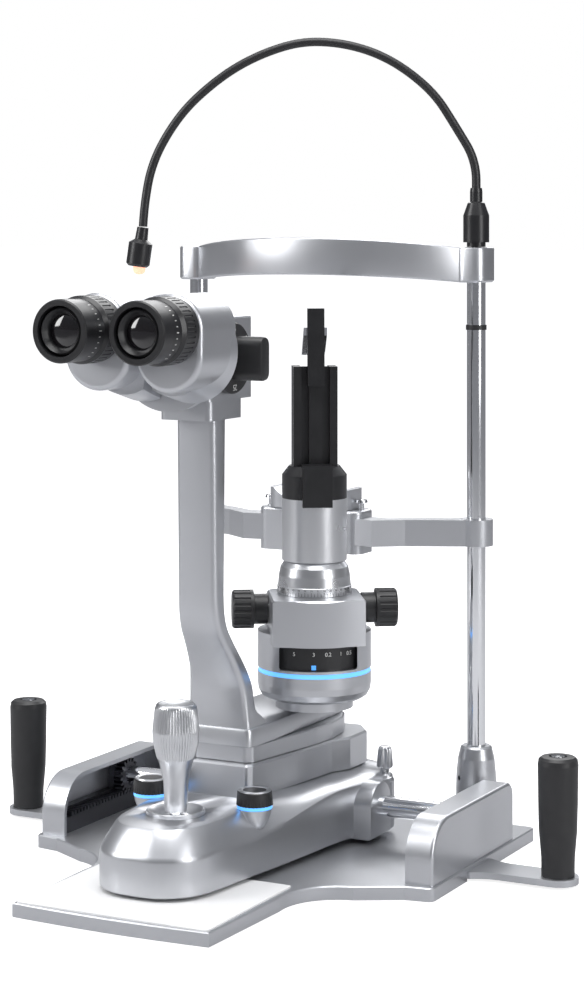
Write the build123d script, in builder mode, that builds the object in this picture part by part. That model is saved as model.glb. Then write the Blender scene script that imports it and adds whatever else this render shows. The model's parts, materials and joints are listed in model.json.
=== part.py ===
from build123d import *
from math import acos, cos, degrees, hypot, pi, radians, sin, tan
import os

os.makedirs("parts", exist_ok=True)

# Slit lamp on its table plate. Millimetres, +X to the examiner's right, +Y towards the patient,
# +Z up. The origin lies on the table, under the middle of the line between the two posts and
# 150 mm in front of it.

# Clearances
fit = 0.05              # radial clearance of a shaft in its hole
sliding = 0.3           # gap between faces of pieces that move past each other
seam = 0.4              # gap of the shadow line between two tiers

# Posts of the head rest: they set the width of the whole stand
post_x = 127.5
post_y = 150.0

# Table plate and its white slide sheet
plate_thickness = 10.0
plate_half_width = post_x + 43.5
plate_back = 168.0
wing_front = -34.0
tongue_half_width = 80.0
tongue_front = -207.0
tongue_bow = 3.5
sheet_half_width = 78.0
sheet_front = -202.5
sheet_back = -76.0
sheet_thickness = 1.0

# Covers over the two racks
cover_outer_x = plate_half_width - 2.0
cover_inner_x = cover_outer_x - 21.8
cover_front = -30.0
cover_back = 127.0
cover_top = 55.6
cover_wall = 3.2
cover_front_radius = 30.0
cover_back_radius = 11.0

# Cross axle, pinions and racks
axle_y = 75.0
axle_z = 37.0
axle_radius = 8.0
gear_module = 1.5
pinion_teeth = 17
pressure_angle = radians(20)
backlash = 0.3
pinion_inner_x = cover_inner_x + 3.8
pinion_width = 7.4
rack_front = -22.0
rack_back = 118.0
rail_outer_x = cover_outer_x - 3.5
shoe_width = 6.0
shoe_length = 22.0
axle_end_x = rail_outer_x - 1.5

# Grips at both ends of the plate
grip_x = plate_half_width + 64.0
grip_y = 51.7
grip_top = 96.0
grip_radius = 15.2
grip_foot_radius = 12.4
bracket_bottom = 2.0
bracket_thickness = 5.0
bracket_half_width = 15.5
bracket_root_half_width = 22.0
bracket_root_x = plate_half_width - 21.0

# Head rest
post_radius = 7.5
post_top = 460.0
socket_top = 75.0
socket_radius = 16.2
socket_mouth_radius = 12.2
canthus_z = 409.5
canthus_height = 4.0
band_end_bottom = 445.5
band_end_top = 473.5
band_rise = 8.0
band_thickness = 6.0
band_bulge_y = 88.0
block_half_width = 15.0
block_front = 122.0
block_back = 165.0
pad_thickness = 3.0
swivel_radius = 4.0
swivel_length = 10.0

# Chin rest
chin_bottom = 235.0
chin_height = 21.0
chin_front_y = 114.0
chin_ring_radius = 13.5
chin_block_half_width = 46.0
chin_block_bottom = 227.5
chin_block_top = 262.0
chin_block_depth = 30.0
cup_half_width = 36.0
cup_depth = 40.0
cup_height = 16.0
cup_radius = 44.0
pin_x = 41.0
pin_y = 118.0
pin_head_radius = 5.0
chin_spindle_radius = 6.0
chin_spindle_bottom = 186.0
chin_nut_radius = 15.0
chin_nut_bottom = 212.0

# Fixation lamp on its gooseneck
connector_radius = 10.4
connector_top = 521.0
gooseneck_radius = 3.5
gooseneck_heading = radians(201.8)
neck_stations = [
    (0, 527, 90),
    (24.7, 583.5, 58),
    (61.4, 619.1, 33),
    (125.5, 638.9, 2),
    (182.3, 624.7, -26),
    (225.9, 594, -43),
    (254.7, 555.7, -62),
    (269.7, 490, -87),
]
fixation_tilt = radians(8)
fixation_radius = 9.6
fixation_length = 32.0
fixation_neck_length = 13.0

# Instrument base
carriage_x = -5.0
swing_y = 108.0
body_bottom = 13.5
shoulder_z = 42.0
body_top = 60.0
nose_front = -162.0
body_back = 140.0
shoulder_inset = 9.0
boss_half_width = 84.0
boss_radius = 19.0
side_travel = 50.0      # the base moves this far to each side of the middle
forward_travel = 25.0   # and this far on towards the patient
relief_gap = 1.0        # left to the post sockets at both ends of the travel
relief_reach = 60.0
terrace_top = 85.0
terrace_front = -40.0
terrace_back = 136.0

# Joystick, brightness knobs and lock
joystick_y = -101.0
joystick_pivot_z = 44.0
joystick_ball_radius = 10.0
joystick_stem_radius = 4.0
joystick_skirt_radius = 8.8
joystick_skirt_bottom = 62.5
joystick_neck_z = 97.0
joystick_neck_radius = 12.8
joystick_grip_radius = 17.3
joystick_grip_wide_z = 124.0
joystick_top = 141.0
joystick_flutes = 36
joystick_well_radius = 17.0
yoke_radius = 13.5
yoke_trunnion_radius = 2.5
yoke_trunnion_reach = 20.0
cup_rim_radius = 21.6
cup_rim_z = 63.0
knob_x = 44.5
knob_y = -61.7
knob_top = 73.5
knob_height = 10.5
knob_radius = 13.7
knob_shaft_radius = 3.0
knob_shaft_length = 12.0
light_ring_height = 2.2
lock_x = 74.8
lock_y = 100.7
lock_seat_z = 52.0
lock_top = 78.0
lock_radius = 7.0

# Lift with the swing axis
column_radius = 20.0
column_bottom = 30.0
platform_top = 98.0
spindle_radius = 9.0
spindle_top = 145.4
spindle_head_height = 4.5
spindle_head_radius = 13.0

# Microscope
arm_foot_top = 112.5
arm_column_half_width = 16.5
arm_column_front = -179.0
arm_column_back = -161.0
arm_column_top = 347.0
optical_z = 393.5
head_block_top = 362.5
box_half_width = 30.0
box_front = -212.0
box_back = -147.0
box_top = 424.5
box_bulge = 7.0
dial_y = -185.0
dial_radius = 26.4
dial_thickness = 5.5
dial_knob_reach = 62.0
dial_knob_length = 31.0
dial_knob_width = 13.0
dial_shaft_radius = 6.0
objective_radius = 21.0
objective_length = 12.0
binocular_plate_radius = 43.0
binocular_plate_thickness = 8.0
tube_pivot_x = 14.0
tube_pivot_radius = 9.0
tube_pivot_length = 6.0
tube_pivot_z = 392.0
eye_x = 31.4
eye_z = 417.0
eye_face_y = -318.0
prism_back = -222.3
prism_front = -272.0
prism_eye_radius = 25.7
prism_low_x = 29.5
prism_low_z = 400.0
prism_low_radius = 27.5
eyepiece_radius = 23.8
eyecup_radius = 22.6
lens_radius = 13.0

# Illumination
lamp_angle = radians(32)
lamp_reach = 83.0
drum_bottom = 126.0
drum_radius = 44.0
drum_foot_radius = 37.0
light_ring_bottom = 146.5
light_ring_top = 150.0
window_bottom = 152.0
window_top = 170.0
window_half_width = 30.0
drum_top = 178.0
dial_ring_radius = 40.0
dial_ring_core = 32.0
lamp_hub_radius = 25.0
lamp_hub_bottom = 113.0
lamp_hub_top = 145.0
lamp_neck_half_width = 19.0
lamp_beam_bottom = 118.5
lamp_sweep_radius = 130.0
slit_sweep_radius = 129.0
slit_block_half_width = 36.0
slit_block_front = 46.0
slit_block_chin = 171.0
slit_block_top = 206.0
slit_shaft_z = 194.0
slit_shaft_radius = 5.0
slit_knob_outer_x = 64.0
slit_knob_inner_x = 47.0
slit_knob_radius = 14.9
slit_knob_neck_radius = 11.7
slit_knob_flutes = 18
inner_tube_radius = 17.0
ring_radius = 28.8
ring_scale_top = 212.5
ring_top = 231.0
cylinder_radius = 25.2
cylinder_bottom = 231.6
cylinder_top = 280.0
collar_top = 298.0
collar_cone_top = 305.0
collar_cone_radius = 19.7
tower_half_width = 17.0
tower_top = 382.0
bracket_top = 427.0
mirror_bracket_half_width = 6.5

# Frames of the movable groups, as they stand in the photograph
stand = Plane.XY
carriage = Plane(origin=(carriage_x, 0, 0))
scope = Plane(origin=(carriage_x, swing_y, 0))
lamp = Plane(
    origin=(carriage_x, swing_y, 0),
    x_dir=(cos(lamp_angle), sin(lamp_angle), 0),
    z_dir=(0, 0, 1),
)
tower = Plane(
    origin=lamp.from_local_coords((0, -lamp_reach, 0)),
    x_dir=lamp.x_dir,
    z_dir=lamp.z_dir,
)


def side(frame, x):
    """Plane across a frame at x: sketch x runs along the frame's y, sketch y runs up."""
    origin = frame.origin + frame.x_dir * x
    return Plane(origin=origin, x_dir=frame.y_dir, z_dir=frame.x_dir)


def upright(frame, x, y):
    """Vertical plane through (x, y) that faces the examiner: sketch y runs up."""
    origin = frame.from_local_coords((x, y, 0))
    return Plane(origin=origin, x_dir=frame.x_dir, z_dir=frame.y_dir * -1)


def lying(frame, x, y, z):
    """Plane for a turned piece whose axis runs towards the examiner: sketch y is the axis."""
    origin = frame.from_local_coords((x, y, z))
    return Plane(origin=origin, x_dir=frame.x_dir, z_dir=frame.z_dir)


def turn(plane, points, mode=Mode.ADD):
    """Revolve a profile of (radius, height) points about the plane's own y axis."""
    with BuildSketch(plane) as profile:
        with BuildLine():
            Polyline(*points, close=True)
        make_face()
    revolve(profile.sketch, axis=Axis(plane.origin, plane.y_dir), mode=mode)


def slab(plane, points, amount, mode=Mode.ADD, both=False):
    """Extrude a closed outline from its plane."""
    with BuildSketch(plane) as profile:
        with BuildLine():
            Polyline(*points, close=True)
        make_face()
    extrude(profile.sketch, amount=amount, both=both, mode=mode)


def both_sides(points):
    """Outline that is symmetric about sketch x = 0, from its right half."""
    left = [(-x, y) for x, y in reversed(points) if x > 0]
    return points + left


def save(part, name):
    part.part.label = name
    export_step(part.part, f"parts/{name}.step")


# Table plate: a tongue for the examiner's side, wings under the racks and posts
bracket_top_z = bracket_bottom + bracket_thickness
with BuildPart() as base_plate:
    with BuildSketch(stand) as plate_outline:
        with BuildLine():
            edge = ThreePointArc(
                (0, tongue_front),
                (tongue_half_width / 2, tongue_front + tongue_bow * 0.3),
                (tongue_half_width, tongue_front + tongue_bow),
            )
            edge = Line(edge @ 1, (tongue_half_width + 3, -104))
            edge = ThreePointArc(edge @ 1, (91, -72), (117, -55))
            edge = Line(edge @ 1, (bracket_root_x, wing_front - 3))
            edge = Line(edge @ 1, (plate_half_width, wing_front))
            edge = Line(edge @ 1, (plate_half_width, plate_back))
            Line(edge @ 1, (0, plate_back))
            mirror(about=Plane.YZ)
        make_face()
        outer_corners = plate_outline.vertices().filter_by(
            lambda v: abs(abs(v.X) - plate_half_width) < 0.1
        )
        fillet(outer_corners, radius=5)
    extrude(amount=plate_thickness)
    top_edges = base_plate.edges().group_by(Axis.Z)[-1]
    chamfer(top_edges, length=0.8)
    for way in (1, -1):
        slab(
            stand,
            [
                (way * bracket_root_x, grip_y - bracket_root_half_width - fit),
                (way * (plate_half_width + 5), grip_y - bracket_root_half_width - fit),
                (way * (plate_half_width + 5), grip_y + bracket_root_half_width + fit),
                (way * bracket_root_x, grip_y + bracket_root_half_width + fit),
            ],
            bracket_top_z,
            mode=Mode.SUBTRACT,
        )
save(base_plate, "base_plate")

with BuildPart() as slide_sheet:
    with BuildSketch(stand.offset(plate_thickness)) as sheet_outline:
        with Locations((0, (sheet_front + sheet_back) / 2)):
            Rectangle(2 * sheet_half_width, sheet_back - sheet_front)
        fillet(sheet_outline.vertices(), radius=3)
    extrude(amount=sheet_thickness)
save(slide_sheet, "slide_sheet")

# Rack covers: shells open to the inside and at the plate
cover_plane = side(stand, cover_inner_x)
cover_depth = cover_outer_x - cover_inner_x


def cover_profile(inset, bottom):
    """Side outline of a rack cover, drawn inset by a wall."""
    low_y = cover_front + inset
    high_y = cover_back - inset
    top = cover_top - inset
    with BuildSketch(cover_plane) as profile:
        with BuildLine():
            Polyline((low_y, bottom), (high_y, bottom), (high_y, top), (low_y, top), close=True)
        make_face()
        high = profile.vertices().group_by(Axis.Y)[-1]
        fillet(high.sort_by(Axis.X)[0], radius=cover_front_radius - inset)
        high = profile.vertices().filter_by(
            lambda v: abs(v.X - high_y) < 0.1 and abs(v.Y - top) < 0.1
        )
        fillet(high, radius=cover_back_radius - inset)
    return profile.sketch


with BuildPart() as rack_covers:
    extrude(cover_profile(0, plate_thickness), amount=cover_depth)
    outer_face = rack_covers.faces().sort_by(Axis.X)[-1]
    upper = outer_face.edges().filter_by(lambda e: e.center().Z > plate_thickness + 1)
    fillet(upper, radius=2.5)
    extrude(
        cover_profile(cover_wall, plate_thickness - 1),
        amount=cover_depth - cover_wall,
        mode=Mode.SUBTRACT,
    )
    mirror(about=Plane.YZ)
save(rack_covers, "rack_covers")

# Racks with a smooth rail beside the teeth, and the pinions that roll on them
pitch_radius = gear_module * pinion_teeth / 2
pitch_z = axle_z - pitch_radius
tooth_pitch = pi * gear_module
addendum = gear_module
dedendum = 1.25 * gear_module
rail_top = pitch_z + addendum + 2.0
shoe_bottom = rail_top + 0.2


def rack_points():
    """Side outline of the rack: straight-flanked teeth, a gap below the axle at rest."""
    half_pitch_line = tooth_pitch / 4 - backlash / 4
    half_root = half_pitch_line + dedendum * tan(pressure_angle)
    half_tip = half_pitch_line - addendum * tan(pressure_angle)
    first = int((rack_front - axle_y) / tooth_pitch) + 1
    last = int((rack_back - axle_y) / tooth_pitch) - 1
    points = [(rack_front, plate_thickness), (rack_front, pitch_z - dedendum)]
    for number in range(first, last + 1):
        centre = axle_y + (number + 0.5) * tooth_pitch
        points.append((centre - half_root, pitch_z - dedendum))
        points.append((centre - half_tip, pitch_z + addendum))
        points.append((centre + half_tip, pitch_z + addendum))
        points.append((centre + half_root, pitch_z - dedendum))
    points.append((rack_back, pitch_z - dedendum))
    points.append((rack_back, plate_thickness))
    return points


rail_inner_x = pinion_inner_x + pinion_width + sliding
with BuildPart() as racks:
    slab(side(stand, pinion_inner_x - sliding), rack_points(), pinion_width + 2 * sliding)
    slab(
        side(stand, rail_inner_x),
        [
            (rack_front, plate_thickness),
            (rack_back, plate_thickness),
            (rack_back, rail_top),
            (rack_front, rail_top),
        ],
        rail_outer_x - rail_inner_x,
    )
    mirror(about=Plane.YZ)
save(racks, "racks")


def pinion_points():
    """Involute outline of the pinion, one tooth pointing straight down."""
    base_radius = pitch_radius * cos(pressure_angle)
    tip_radius = pitch_radius + addendum - 0.1
    root_radius = pitch_radius - dedendum
    half_at_pitch = pi / (2 * pinion_teeth) - backlash / 4 / pitch_radius
    involute_at_pitch = tan(pressure_angle) - pressure_angle
    flank = [(root_radius, half_at_pitch + involute_at_pitch)]
    for step in range(5):
        radius = base_radius + (tip_radius - base_radius) * step / 4
        angle = acos(base_radius / radius)
        flank.append((radius, half_at_pitch + involute_at_pitch - (tan(angle) - angle)))
    points = []
    for number in range(pinion_teeth):
        centre = -pi / 2 + 2 * pi * number / pinion_teeth
        for radius, half in flank:
            angle = centre - half
            points.append((axle_y + radius * cos(angle), axle_z + radius * sin(angle)))
        for radius, half in reversed(flank):
            angle = centre + half
            points.append((axle_y + radius * cos(angle), axle_z + radius * sin(angle)))
    return points


with BuildPart() as pinions:
    pinion_plane = side(stand, pinion_inner_x)
    with BuildSketch(pinion_plane) as pinion_profile:
        with BuildLine():
            Polyline(*pinion_points(), close=True)
        make_face()
        with Locations((axle_y, axle_z)):
            Circle(axle_radius + fit, mode=Mode.SUBTRACT)
    extrude(amount=pinion_width)
    mirror(about=Plane.YZ)
save(pinions, "pinions")

with BuildPart() as cross_axle:
    with BuildSketch(side(stand, -axle_end_x)):
        with Locations((axle_y, axle_z)):
            Circle(axle_radius)
    extrude(amount=2 * axle_end_x)
    chamfer(cross_axle.edges().filter_by(GeomType.CIRCLE), length=1)
save(cross_axle, "cross_axle")

with BuildPart() as axle_shoes:
    shoe_inner_x = rail_inner_x + sliding
    with BuildSketch(side(stand, shoe_inner_x)) as shoe_profile:
        with BuildLine():
            Polyline(
                (axle_y - shoe_length / 2, shoe_bottom),
                (axle_y + shoe_length / 2, shoe_bottom),
                (axle_y + shoe_length / 2, axle_z),
                (axle_y + shoe_length / 2 - 4, axle_z + 12),
                (axle_y - shoe_length / 2 + 4, axle_z + 12),
                (axle_y - shoe_length / 2, axle_z),
                close=True,
            )
        make_face()
        with Locations((axle_y, axle_z)):
            Circle(axle_radius + fit, mode=Mode.SUBTRACT)
    extrude(amount=shoe_width)
    mirror(about=Plane.YZ)
save(axle_shoes, "axle_shoes")

# Grips: flat brackets under the plate, moulded handles and the screws through them
bolt_radius = 3.0
with BuildPart() as handle_brackets:
    with BuildSketch(stand.offset(bracket_bottom)) as bracket_outline:
        with BuildLine():
            edge = Line(
                (bracket_root_x + 1, grip_y),
                (bracket_root_x + 1, grip_y + bracket_root_half_width),
            )
            edge = Line(edge @ 1, (plate_half_width + 2, grip_y + bracket_root_half_width))
            edge = ThreePointArc(
                edge @ 1,
                (plate_half_width + 12, grip_y + bracket_half_width + 1.5),
                (plate_half_width + 26, grip_y + bracket_half_width),
            )
            edge = Line(edge @ 1, (grip_x, grip_y + bracket_half_width))
            ThreePointArc(
                edge @ 1,
                (
                    grip_x + bracket_half_width * sin(pi / 4),
                    grip_y + bracket_half_width * cos(pi / 4),
                ),
                (grip_x + bracket_half_width, grip_y),
            )
            mirror(about=Plane.XZ.offset(-grip_y))
        make_face()
        with Locations((grip_x, grip_y)):
            Circle(bolt_radius + fit, mode=Mode.SUBTRACT)
    extrude(amount=bracket_thickness)
    mirror(about=Plane.YZ)
save(handle_brackets, "handle_brackets")

with BuildPart() as grips:
    turn(
        upright(stand, grip_x, grip_y),
        [
            (bolt_radius + fit, bracket_top_z),
            (grip_foot_radius, bracket_top_z),
            (grip_foot_radius + 0.2, bracket_top_z + 14),
            (grip_radius - 0.9, bracket_top_z + 34),
            (grip_radius - 0.4, bracket_top_z + 54),
            (grip_radius, grip_top - 6),
            (grip_radius - 0.6, grip_top - 2.2),
            (grip_radius - 2.6, grip_top - 0.4),
            (7, grip_top),
            (6, grip_top - 1.5),
            (bolt_radius + fit, grip_top - 1.5),
        ],
    )
    mirror(about=Plane.YZ)
save(grips, "grips")

with BuildPart() as grip_bolts:
    turn(
        upright(stand, grip_x, grip_y),
        [
            (0, bracket_bottom),
            (bolt_radius, bracket_bottom),
            (bolt_radius, grip_top - 1.5),
            (5.5, grip_top - 1.5),
            (5.2, grip_top + 0.3),
            (0, grip_top + 0.8),
        ],
    )
    mirror(about=Plane.YZ)
save(grip_bolts, "grip_bolts")

# Posts of the head rest, turned sockets and the two canthus marks
with BuildPart() as posts:
    with BuildSketch(stand.offset(plate_thickness)):
        with Locations((post_x, post_y), (-post_x, post_y)):
            Circle(post_radius)
    extrude(amount=post_top - plate_thickness)
    chamfer(posts.edges().group_by(Axis.Z)[-1], length=0.8)
save(posts, "posts")

with BuildPart() as post_sockets:
    socket_plane = upright(stand, post_x, post_y)
    bore = post_radius + fit
    turn(
        socket_plane,
        [
            (bore, plate_thickness),
            (socket_radius, plate_thickness),
            (socket_radius, socket_top - 32),
            (socket_radius - 0.4, socket_top - 22),
            (socket_radius - 1.6, socket_top - 10),
            (socket_mouth_radius + 0.4, socket_top - 1.5),
            (socket_mouth_radius - 1, socket_top),
            (bore, socket_top),
        ],
    )
    mirror(about=Plane.YZ)
    for way in (1, -1):
        for height in (socket_top - 25, socket_top - 39):
            screw_plane = Plane(
                origin=(way * post_x, post_y, height), x_dir=(1, 0, 0), z_dir=(-0.6, -0.8, 0)
            )
            with BuildSketch(screw_plane.offset(post_radius + 4)) as screw_hole:
                Circle(2)
            extrude(screw_hole.sketch, amount=12, mode=Mode.SUBTRACT)
save(post_sockets, "post_sockets")

with BuildPart() as canthus_marks:
    turn(
        upright(stand, post_x, post_y),
        [
            (bore, canthus_z - canthus_height / 2),
            (bore + 0.8, canthus_z - canthus_height / 2),
            (bore + 0.8, canthus_z + canthus_height / 2),
            (bore, canthus_z + canthus_height / 2),
        ],
    )
    mirror(about=Plane.YZ)
save(canthus_marks, "canthus_marks")

# Head band: a bowed strip between two end blocks that sit on the posts
with BuildPart() as head_band:
    with BuildSketch(stand.offset(band_end_bottom)):
        with BuildLine():
            outer = ThreePointArc(
                (-post_x + 10, block_front + 12), (0, band_bulge_y), (post_x - 10, block_front + 12)
            )
            inner = ThreePointArc(
                (-post_x + 10, block_front + 12 + band_thickness),
                (0, band_bulge_y + band_thickness),
                (post_x - 10, block_front + 12 + band_thickness),
            )
            Line(outer @ 0, inner @ 0)
            Line(outer @ 1, inner @ 1)
        make_face()
    extrude(amount=band_end_top + band_rise - band_end_bottom)
    with BuildSketch(upright(stand, 0, 0)) as band_front:
        with BuildLine():
            low = ThreePointArc(
                (-post_x, band_end_bottom),
                (0, band_end_bottom + band_rise - 2),
                (post_x, band_end_bottom),
            )
            high = ThreePointArc(
                (-post_x, band_end_top), (0, band_end_top + band_rise), (post_x, band_end_top)
            )
            Line(low @ 0, high @ 0)
            Line(low @ 1, high @ 1)
        make_face()
    extrude(band_front.sketch, amount=400, both=True, mode=Mode.INTERSECT)
    for way in (1, -1):
        with BuildSketch(stand.offset(band_end_bottom)) as block_outline:
            with Locations((way * post_x, (block_front + block_back) / 2)):
                RectangleRounded(2 * block_half_width, block_back - block_front, 6)
        extrude(block_outline.sketch, amount=band_end_top - band_end_bottom)
        with BuildSketch(stand.offset(band_end_bottom)) as block_bore:
            with Locations((way * post_x, post_y)):
                Circle(post_radius + fit)
        extrude(block_bore.sketch, amount=post_top - band_end_bottom, mode=Mode.SUBTRACT)
    with BuildSketch(stand.offset(band_end_top - swivel_length)) as swivel_bore:
        with Locations((post_x, post_y)):
            Circle(swivel_radius + fit)
    extrude(swivel_bore.sketch, amount=swivel_length + 1, mode=Mode.SUBTRACT)
save(head_band, "head_band")

with BuildPart() as forehead_pad:
    with BuildSketch(stand.offset(band_end_bottom + 12)):
        with BuildLine():
            front = ThreePointArc(
                (-72, block_front - 3.3), (0, band_bulge_y + band_thickness), (72, block_front - 3.3)
            )
            back = ThreePointArc(
                (-70, block_front),
                (0, band_bulge_y + band_thickness + pad_thickness),
                (70, block_front),
            )
            Line(front @ 0, back @ 0)
            Line(front @ 1, back @ 1)
        make_face()
    extrude(amount=18)
    with BuildSketch(stand.offset(band_end_bottom)) as band_volume:
        with BuildLine():
            outer = ThreePointArc(
                (-post_x + 10, block_front + 12), (0, band_bulge_y), (post_x - 10, block_front + 12)
            )
            inner = ThreePointArc(
                (-post_x + 10, block_front + 12 + band_thickness),
                (0, band_bulge_y + band_thickness),
                (post_x - 10, block_front + 12 + band_thickness),
            )
            Line(outer @ 0, inner @ 0)
            Line(outer @ 1, inner @ 1)
        make_face()
    extrude(band_volume.sketch, amount=40, mode=Mode.SUBTRACT)
save(forehead_pad, "forehead_pad")

# Chin rest: an arm clamped to both posts, a cup on a spindle and the nut that lifts it
chin_centre_y = chin_front_y + 4
with BuildPart() as chin_arm:
    for way in (1, -1):
        slab(
            stand.offset(chin_bottom),
            [
                (way * (post_x - 5), post_y + 4),
                (way * 84, 134),
                (way * 62, 121),
                (way * 30, chin_centre_y + 9),
                (way * 30, chin_centre_y - 12),
                (way * 58, 101),
                (way * 80, 117),
                (way * (post_x - 2), post_y - 12),
            ],
            chin_height,
        )
        with BuildSketch(stand.offset(chin_bottom)) as ring:
            with Locations((way * post_x, post_y)):
                Circle(chin_ring_radius)
        extrude(ring.sketch, amount=chin_height)
    with BuildSketch(stand.offset(chin_block_bottom)) as chin_block:
        with Locations((0, chin_centre_y)):
            RectangleRounded(2 * chin_block_half_width, chin_block_depth, 8)
    extrude(chin_block.sketch, amount=chin_block_top - chin_block_bottom)
    upper = chin_arm.edges().group_by(Axis.Z)[-1]
    fillet(upper, radius=2.5)
    with BuildSketch(stand) as chin_bores:
        with Locations((post_x, post_y), (-post_x, post_y)):
            Circle(post_radius + fit)
        with Locations((0, chin_centre_y)):
            Circle(chin_spindle_radius + fit)
    extrude(chin_bores.sketch, amount=400, mode=Mode.SUBTRACT)
save(chin_arm, "chin_arm")

with BuildPart() as chin_cup:
    cup_bottom = chin_block_top + 0.4
    with BuildSketch(stand.offset(cup_bottom)):
        with Locations((0, chin_centre_y)):
            RectangleRounded(2 * cup_half_width, cup_depth, 12)
    extrude(amount=cup_height)
    with BuildSketch(upright(stand, 0, chin_centre_y)) as saddle:
        with Locations((0, cup_bottom + 5 + cup_radius)):
            Circle(cup_radius)
    extrude(saddle.sketch, amount=60, both=True, mode=Mode.SUBTRACT)
    with BuildSketch(stand.offset(chin_spindle_bottom)) as chin_spindle:
        with Locations((0, chin_centre_y)):
            Circle(chin_spindle_radius)
    extrude(chin_spindle.sketch, amount=cup_bottom - chin_spindle_bottom)
save(chin_cup, "chin_cup")

with BuildPart() as chin_nut:
    with BuildSketch(stand.offset(chin_nut_bottom)):
        with Locations((0, chin_centre_y)):
            Circle(chin_nut_radius)
            Circle(chin_spindle_radius + fit, mode=Mode.SUBTRACT)
            with PolarLocations(chin_nut_radius, 24):
                Circle(0.8, mode=Mode.SUBTRACT)
    extrude(amount=chin_block_bottom - 0.3 - chin_nut_bottom)
save(chin_nut, "chin_nut")

with BuildPart() as paper_pins:
    pin_plane = upright(stand, pin_x, pin_y)
    turn(
        pin_plane,
        [
            (0, chin_block_top),
            (2.2, chin_block_top),
            (2.2, chin_block_top + 5),
            (pin_head_radius, chin_block_top + 6),
            (pin_head_radius - 0.6, chin_block_top + 8),
            (0, chin_block_top + 8.6),
        ],
    )
    mirror(about=Plane.YZ)
save(paper_pins, "paper_pins")

# Fixation lamp: a swivel connector, a bent stiff tube and the small lamp head at its end
with BuildPart() as gooseneck_connector:
    turn(
        upright(stand, post_x, post_y),
        [
            (0, band_end_top - swivel_length + 0.3),
            (swivel_radius, band_end_top - swivel_length + 0.3),
            (swivel_radius, band_end_top + 0.3),
            (7.5, band_end_top + 0.3),
            (7.5, band_end_top + 4),
            (connector_radius, band_end_top + 4),
            (connector_radius, connector_top - 22),
            (6.8, connector_top - 12),
            (5, connector_top - 11),
            (5, connector_top - 3),
            (4.6, connector_top),
            (0, connector_top),
        ],
    )
save(gooseneck_connector, "gooseneck_connector")

neck_heading = Vector(cos(gooseneck_heading), sin(gooseneck_heading), 0)
neck_plane = Plane(
    origin=(post_x, post_y, 0),
    x_dir=neck_heading,
    z_dir=neck_heading.cross(Vector(0, 0, 1)),
)


def heading(station):
    """Direction of the tube at a station of (run, height, slope in degrees)."""
    return (cos(radians(station[2])), sin(radians(station[2])))


def biarc_joint(start, end):
    """Point where two arcs of one tangent meet between two stations."""
    first = Vector(*heading(start))
    second = Vector(*heading(end))
    chord = Vector(end[0] - start[0], end[1] - start[1])
    spread = 2 * (1 - first.dot(second))
    along = chord.dot(first + second)
    length = ((along ** 2 + spread * chord.dot(chord)) ** 0.5 - along) / spread
    middle = Vector(start[0] + end[0], start[1] + end[1]) + (first - second) * length
    return (middle.X / 2, middle.Y / 2)


with BuildLine() as neck_line:
    edge = Line((0, connector_top), (0, neck_stations[0][1]))
    for start, end in zip(neck_stations, neck_stations[1:]):
        joint = biarc_joint(start, end)
        edge = TangentArc(edge @ 1, joint, tangent=heading(start))
        edge = TangentArc(joint, end[:2], tangent=edge % 1)

neck_path = neck_plane.location * neck_line.line
with BuildPart() as gooseneck:
    with BuildSketch(Plane(origin=(post_x, post_y, connector_top), z_dir=(0, 0, 1))):
        Circle(gooseneck_radius)
    sweep(path=neck_path)
save(gooseneck, "gooseneck")

neck_end = neck_plane.from_local_coords((neck_stations[-1][0], neck_stations[-1][1], 0))
lamp_drop = (neck_heading * sin(fixation_tilt) - Vector(0, 0, 1) * cos(fixation_tilt)).normalized()
fixation_plane = Plane(
    origin=neck_end + lamp_drop * 0.6,
    x_dir=neck_plane.z_dir,
    z_dir=neck_plane.z_dir.cross(lamp_drop),
)
with BuildPart() as fixation_lamp:
    turn(
        fixation_plane,
        [
            (0, 0),
            (4.6, 0),
            (5.2, fixation_neck_length - 3),
            (fixation_radius, fixation_neck_length),
            (fixation_radius, fixation_length - 2),
            (fixation_radius - 2, fixation_length),
            (0, fixation_length),
        ],
    )
save(fixation_lamp, "fixation_lamp")

# Instrument base: a rounded body on a thin glide pad, a shoulder all round and a boss for the axle
knob_foot = knob_top - knob_height
body_outline = [
    (54.4, -58),
    (61, -1),
    (64, 39),
    (68, 56),
    (76.5, 79),
    (82.5, 106),
    (80, 128),
    (68, body_back),
]


def body_sketch(inset, height):
    """Plan outline of the instrument base, drawn inset, at a height."""
    with BuildSketch(carriage.offset(height)) as sketch:
        with BuildLine():
            edge = ThreePointArc(
                (-44.5 + inset, -95), (0, nose_front + inset), (44.5 - inset, -95)
            )
            points = [edge @ 1] + [(x - inset, min(y, body_back - inset)) for x, y in body_outline]
            Polyline(*points)
            mirrored = [(-point[0], point[1]) for point in points[1:]]
            Polyline(edge @ 0, *mirrored)
            Line(points[-1], mirrored[-1])
        make_face()
    return sketch.sketch


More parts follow.
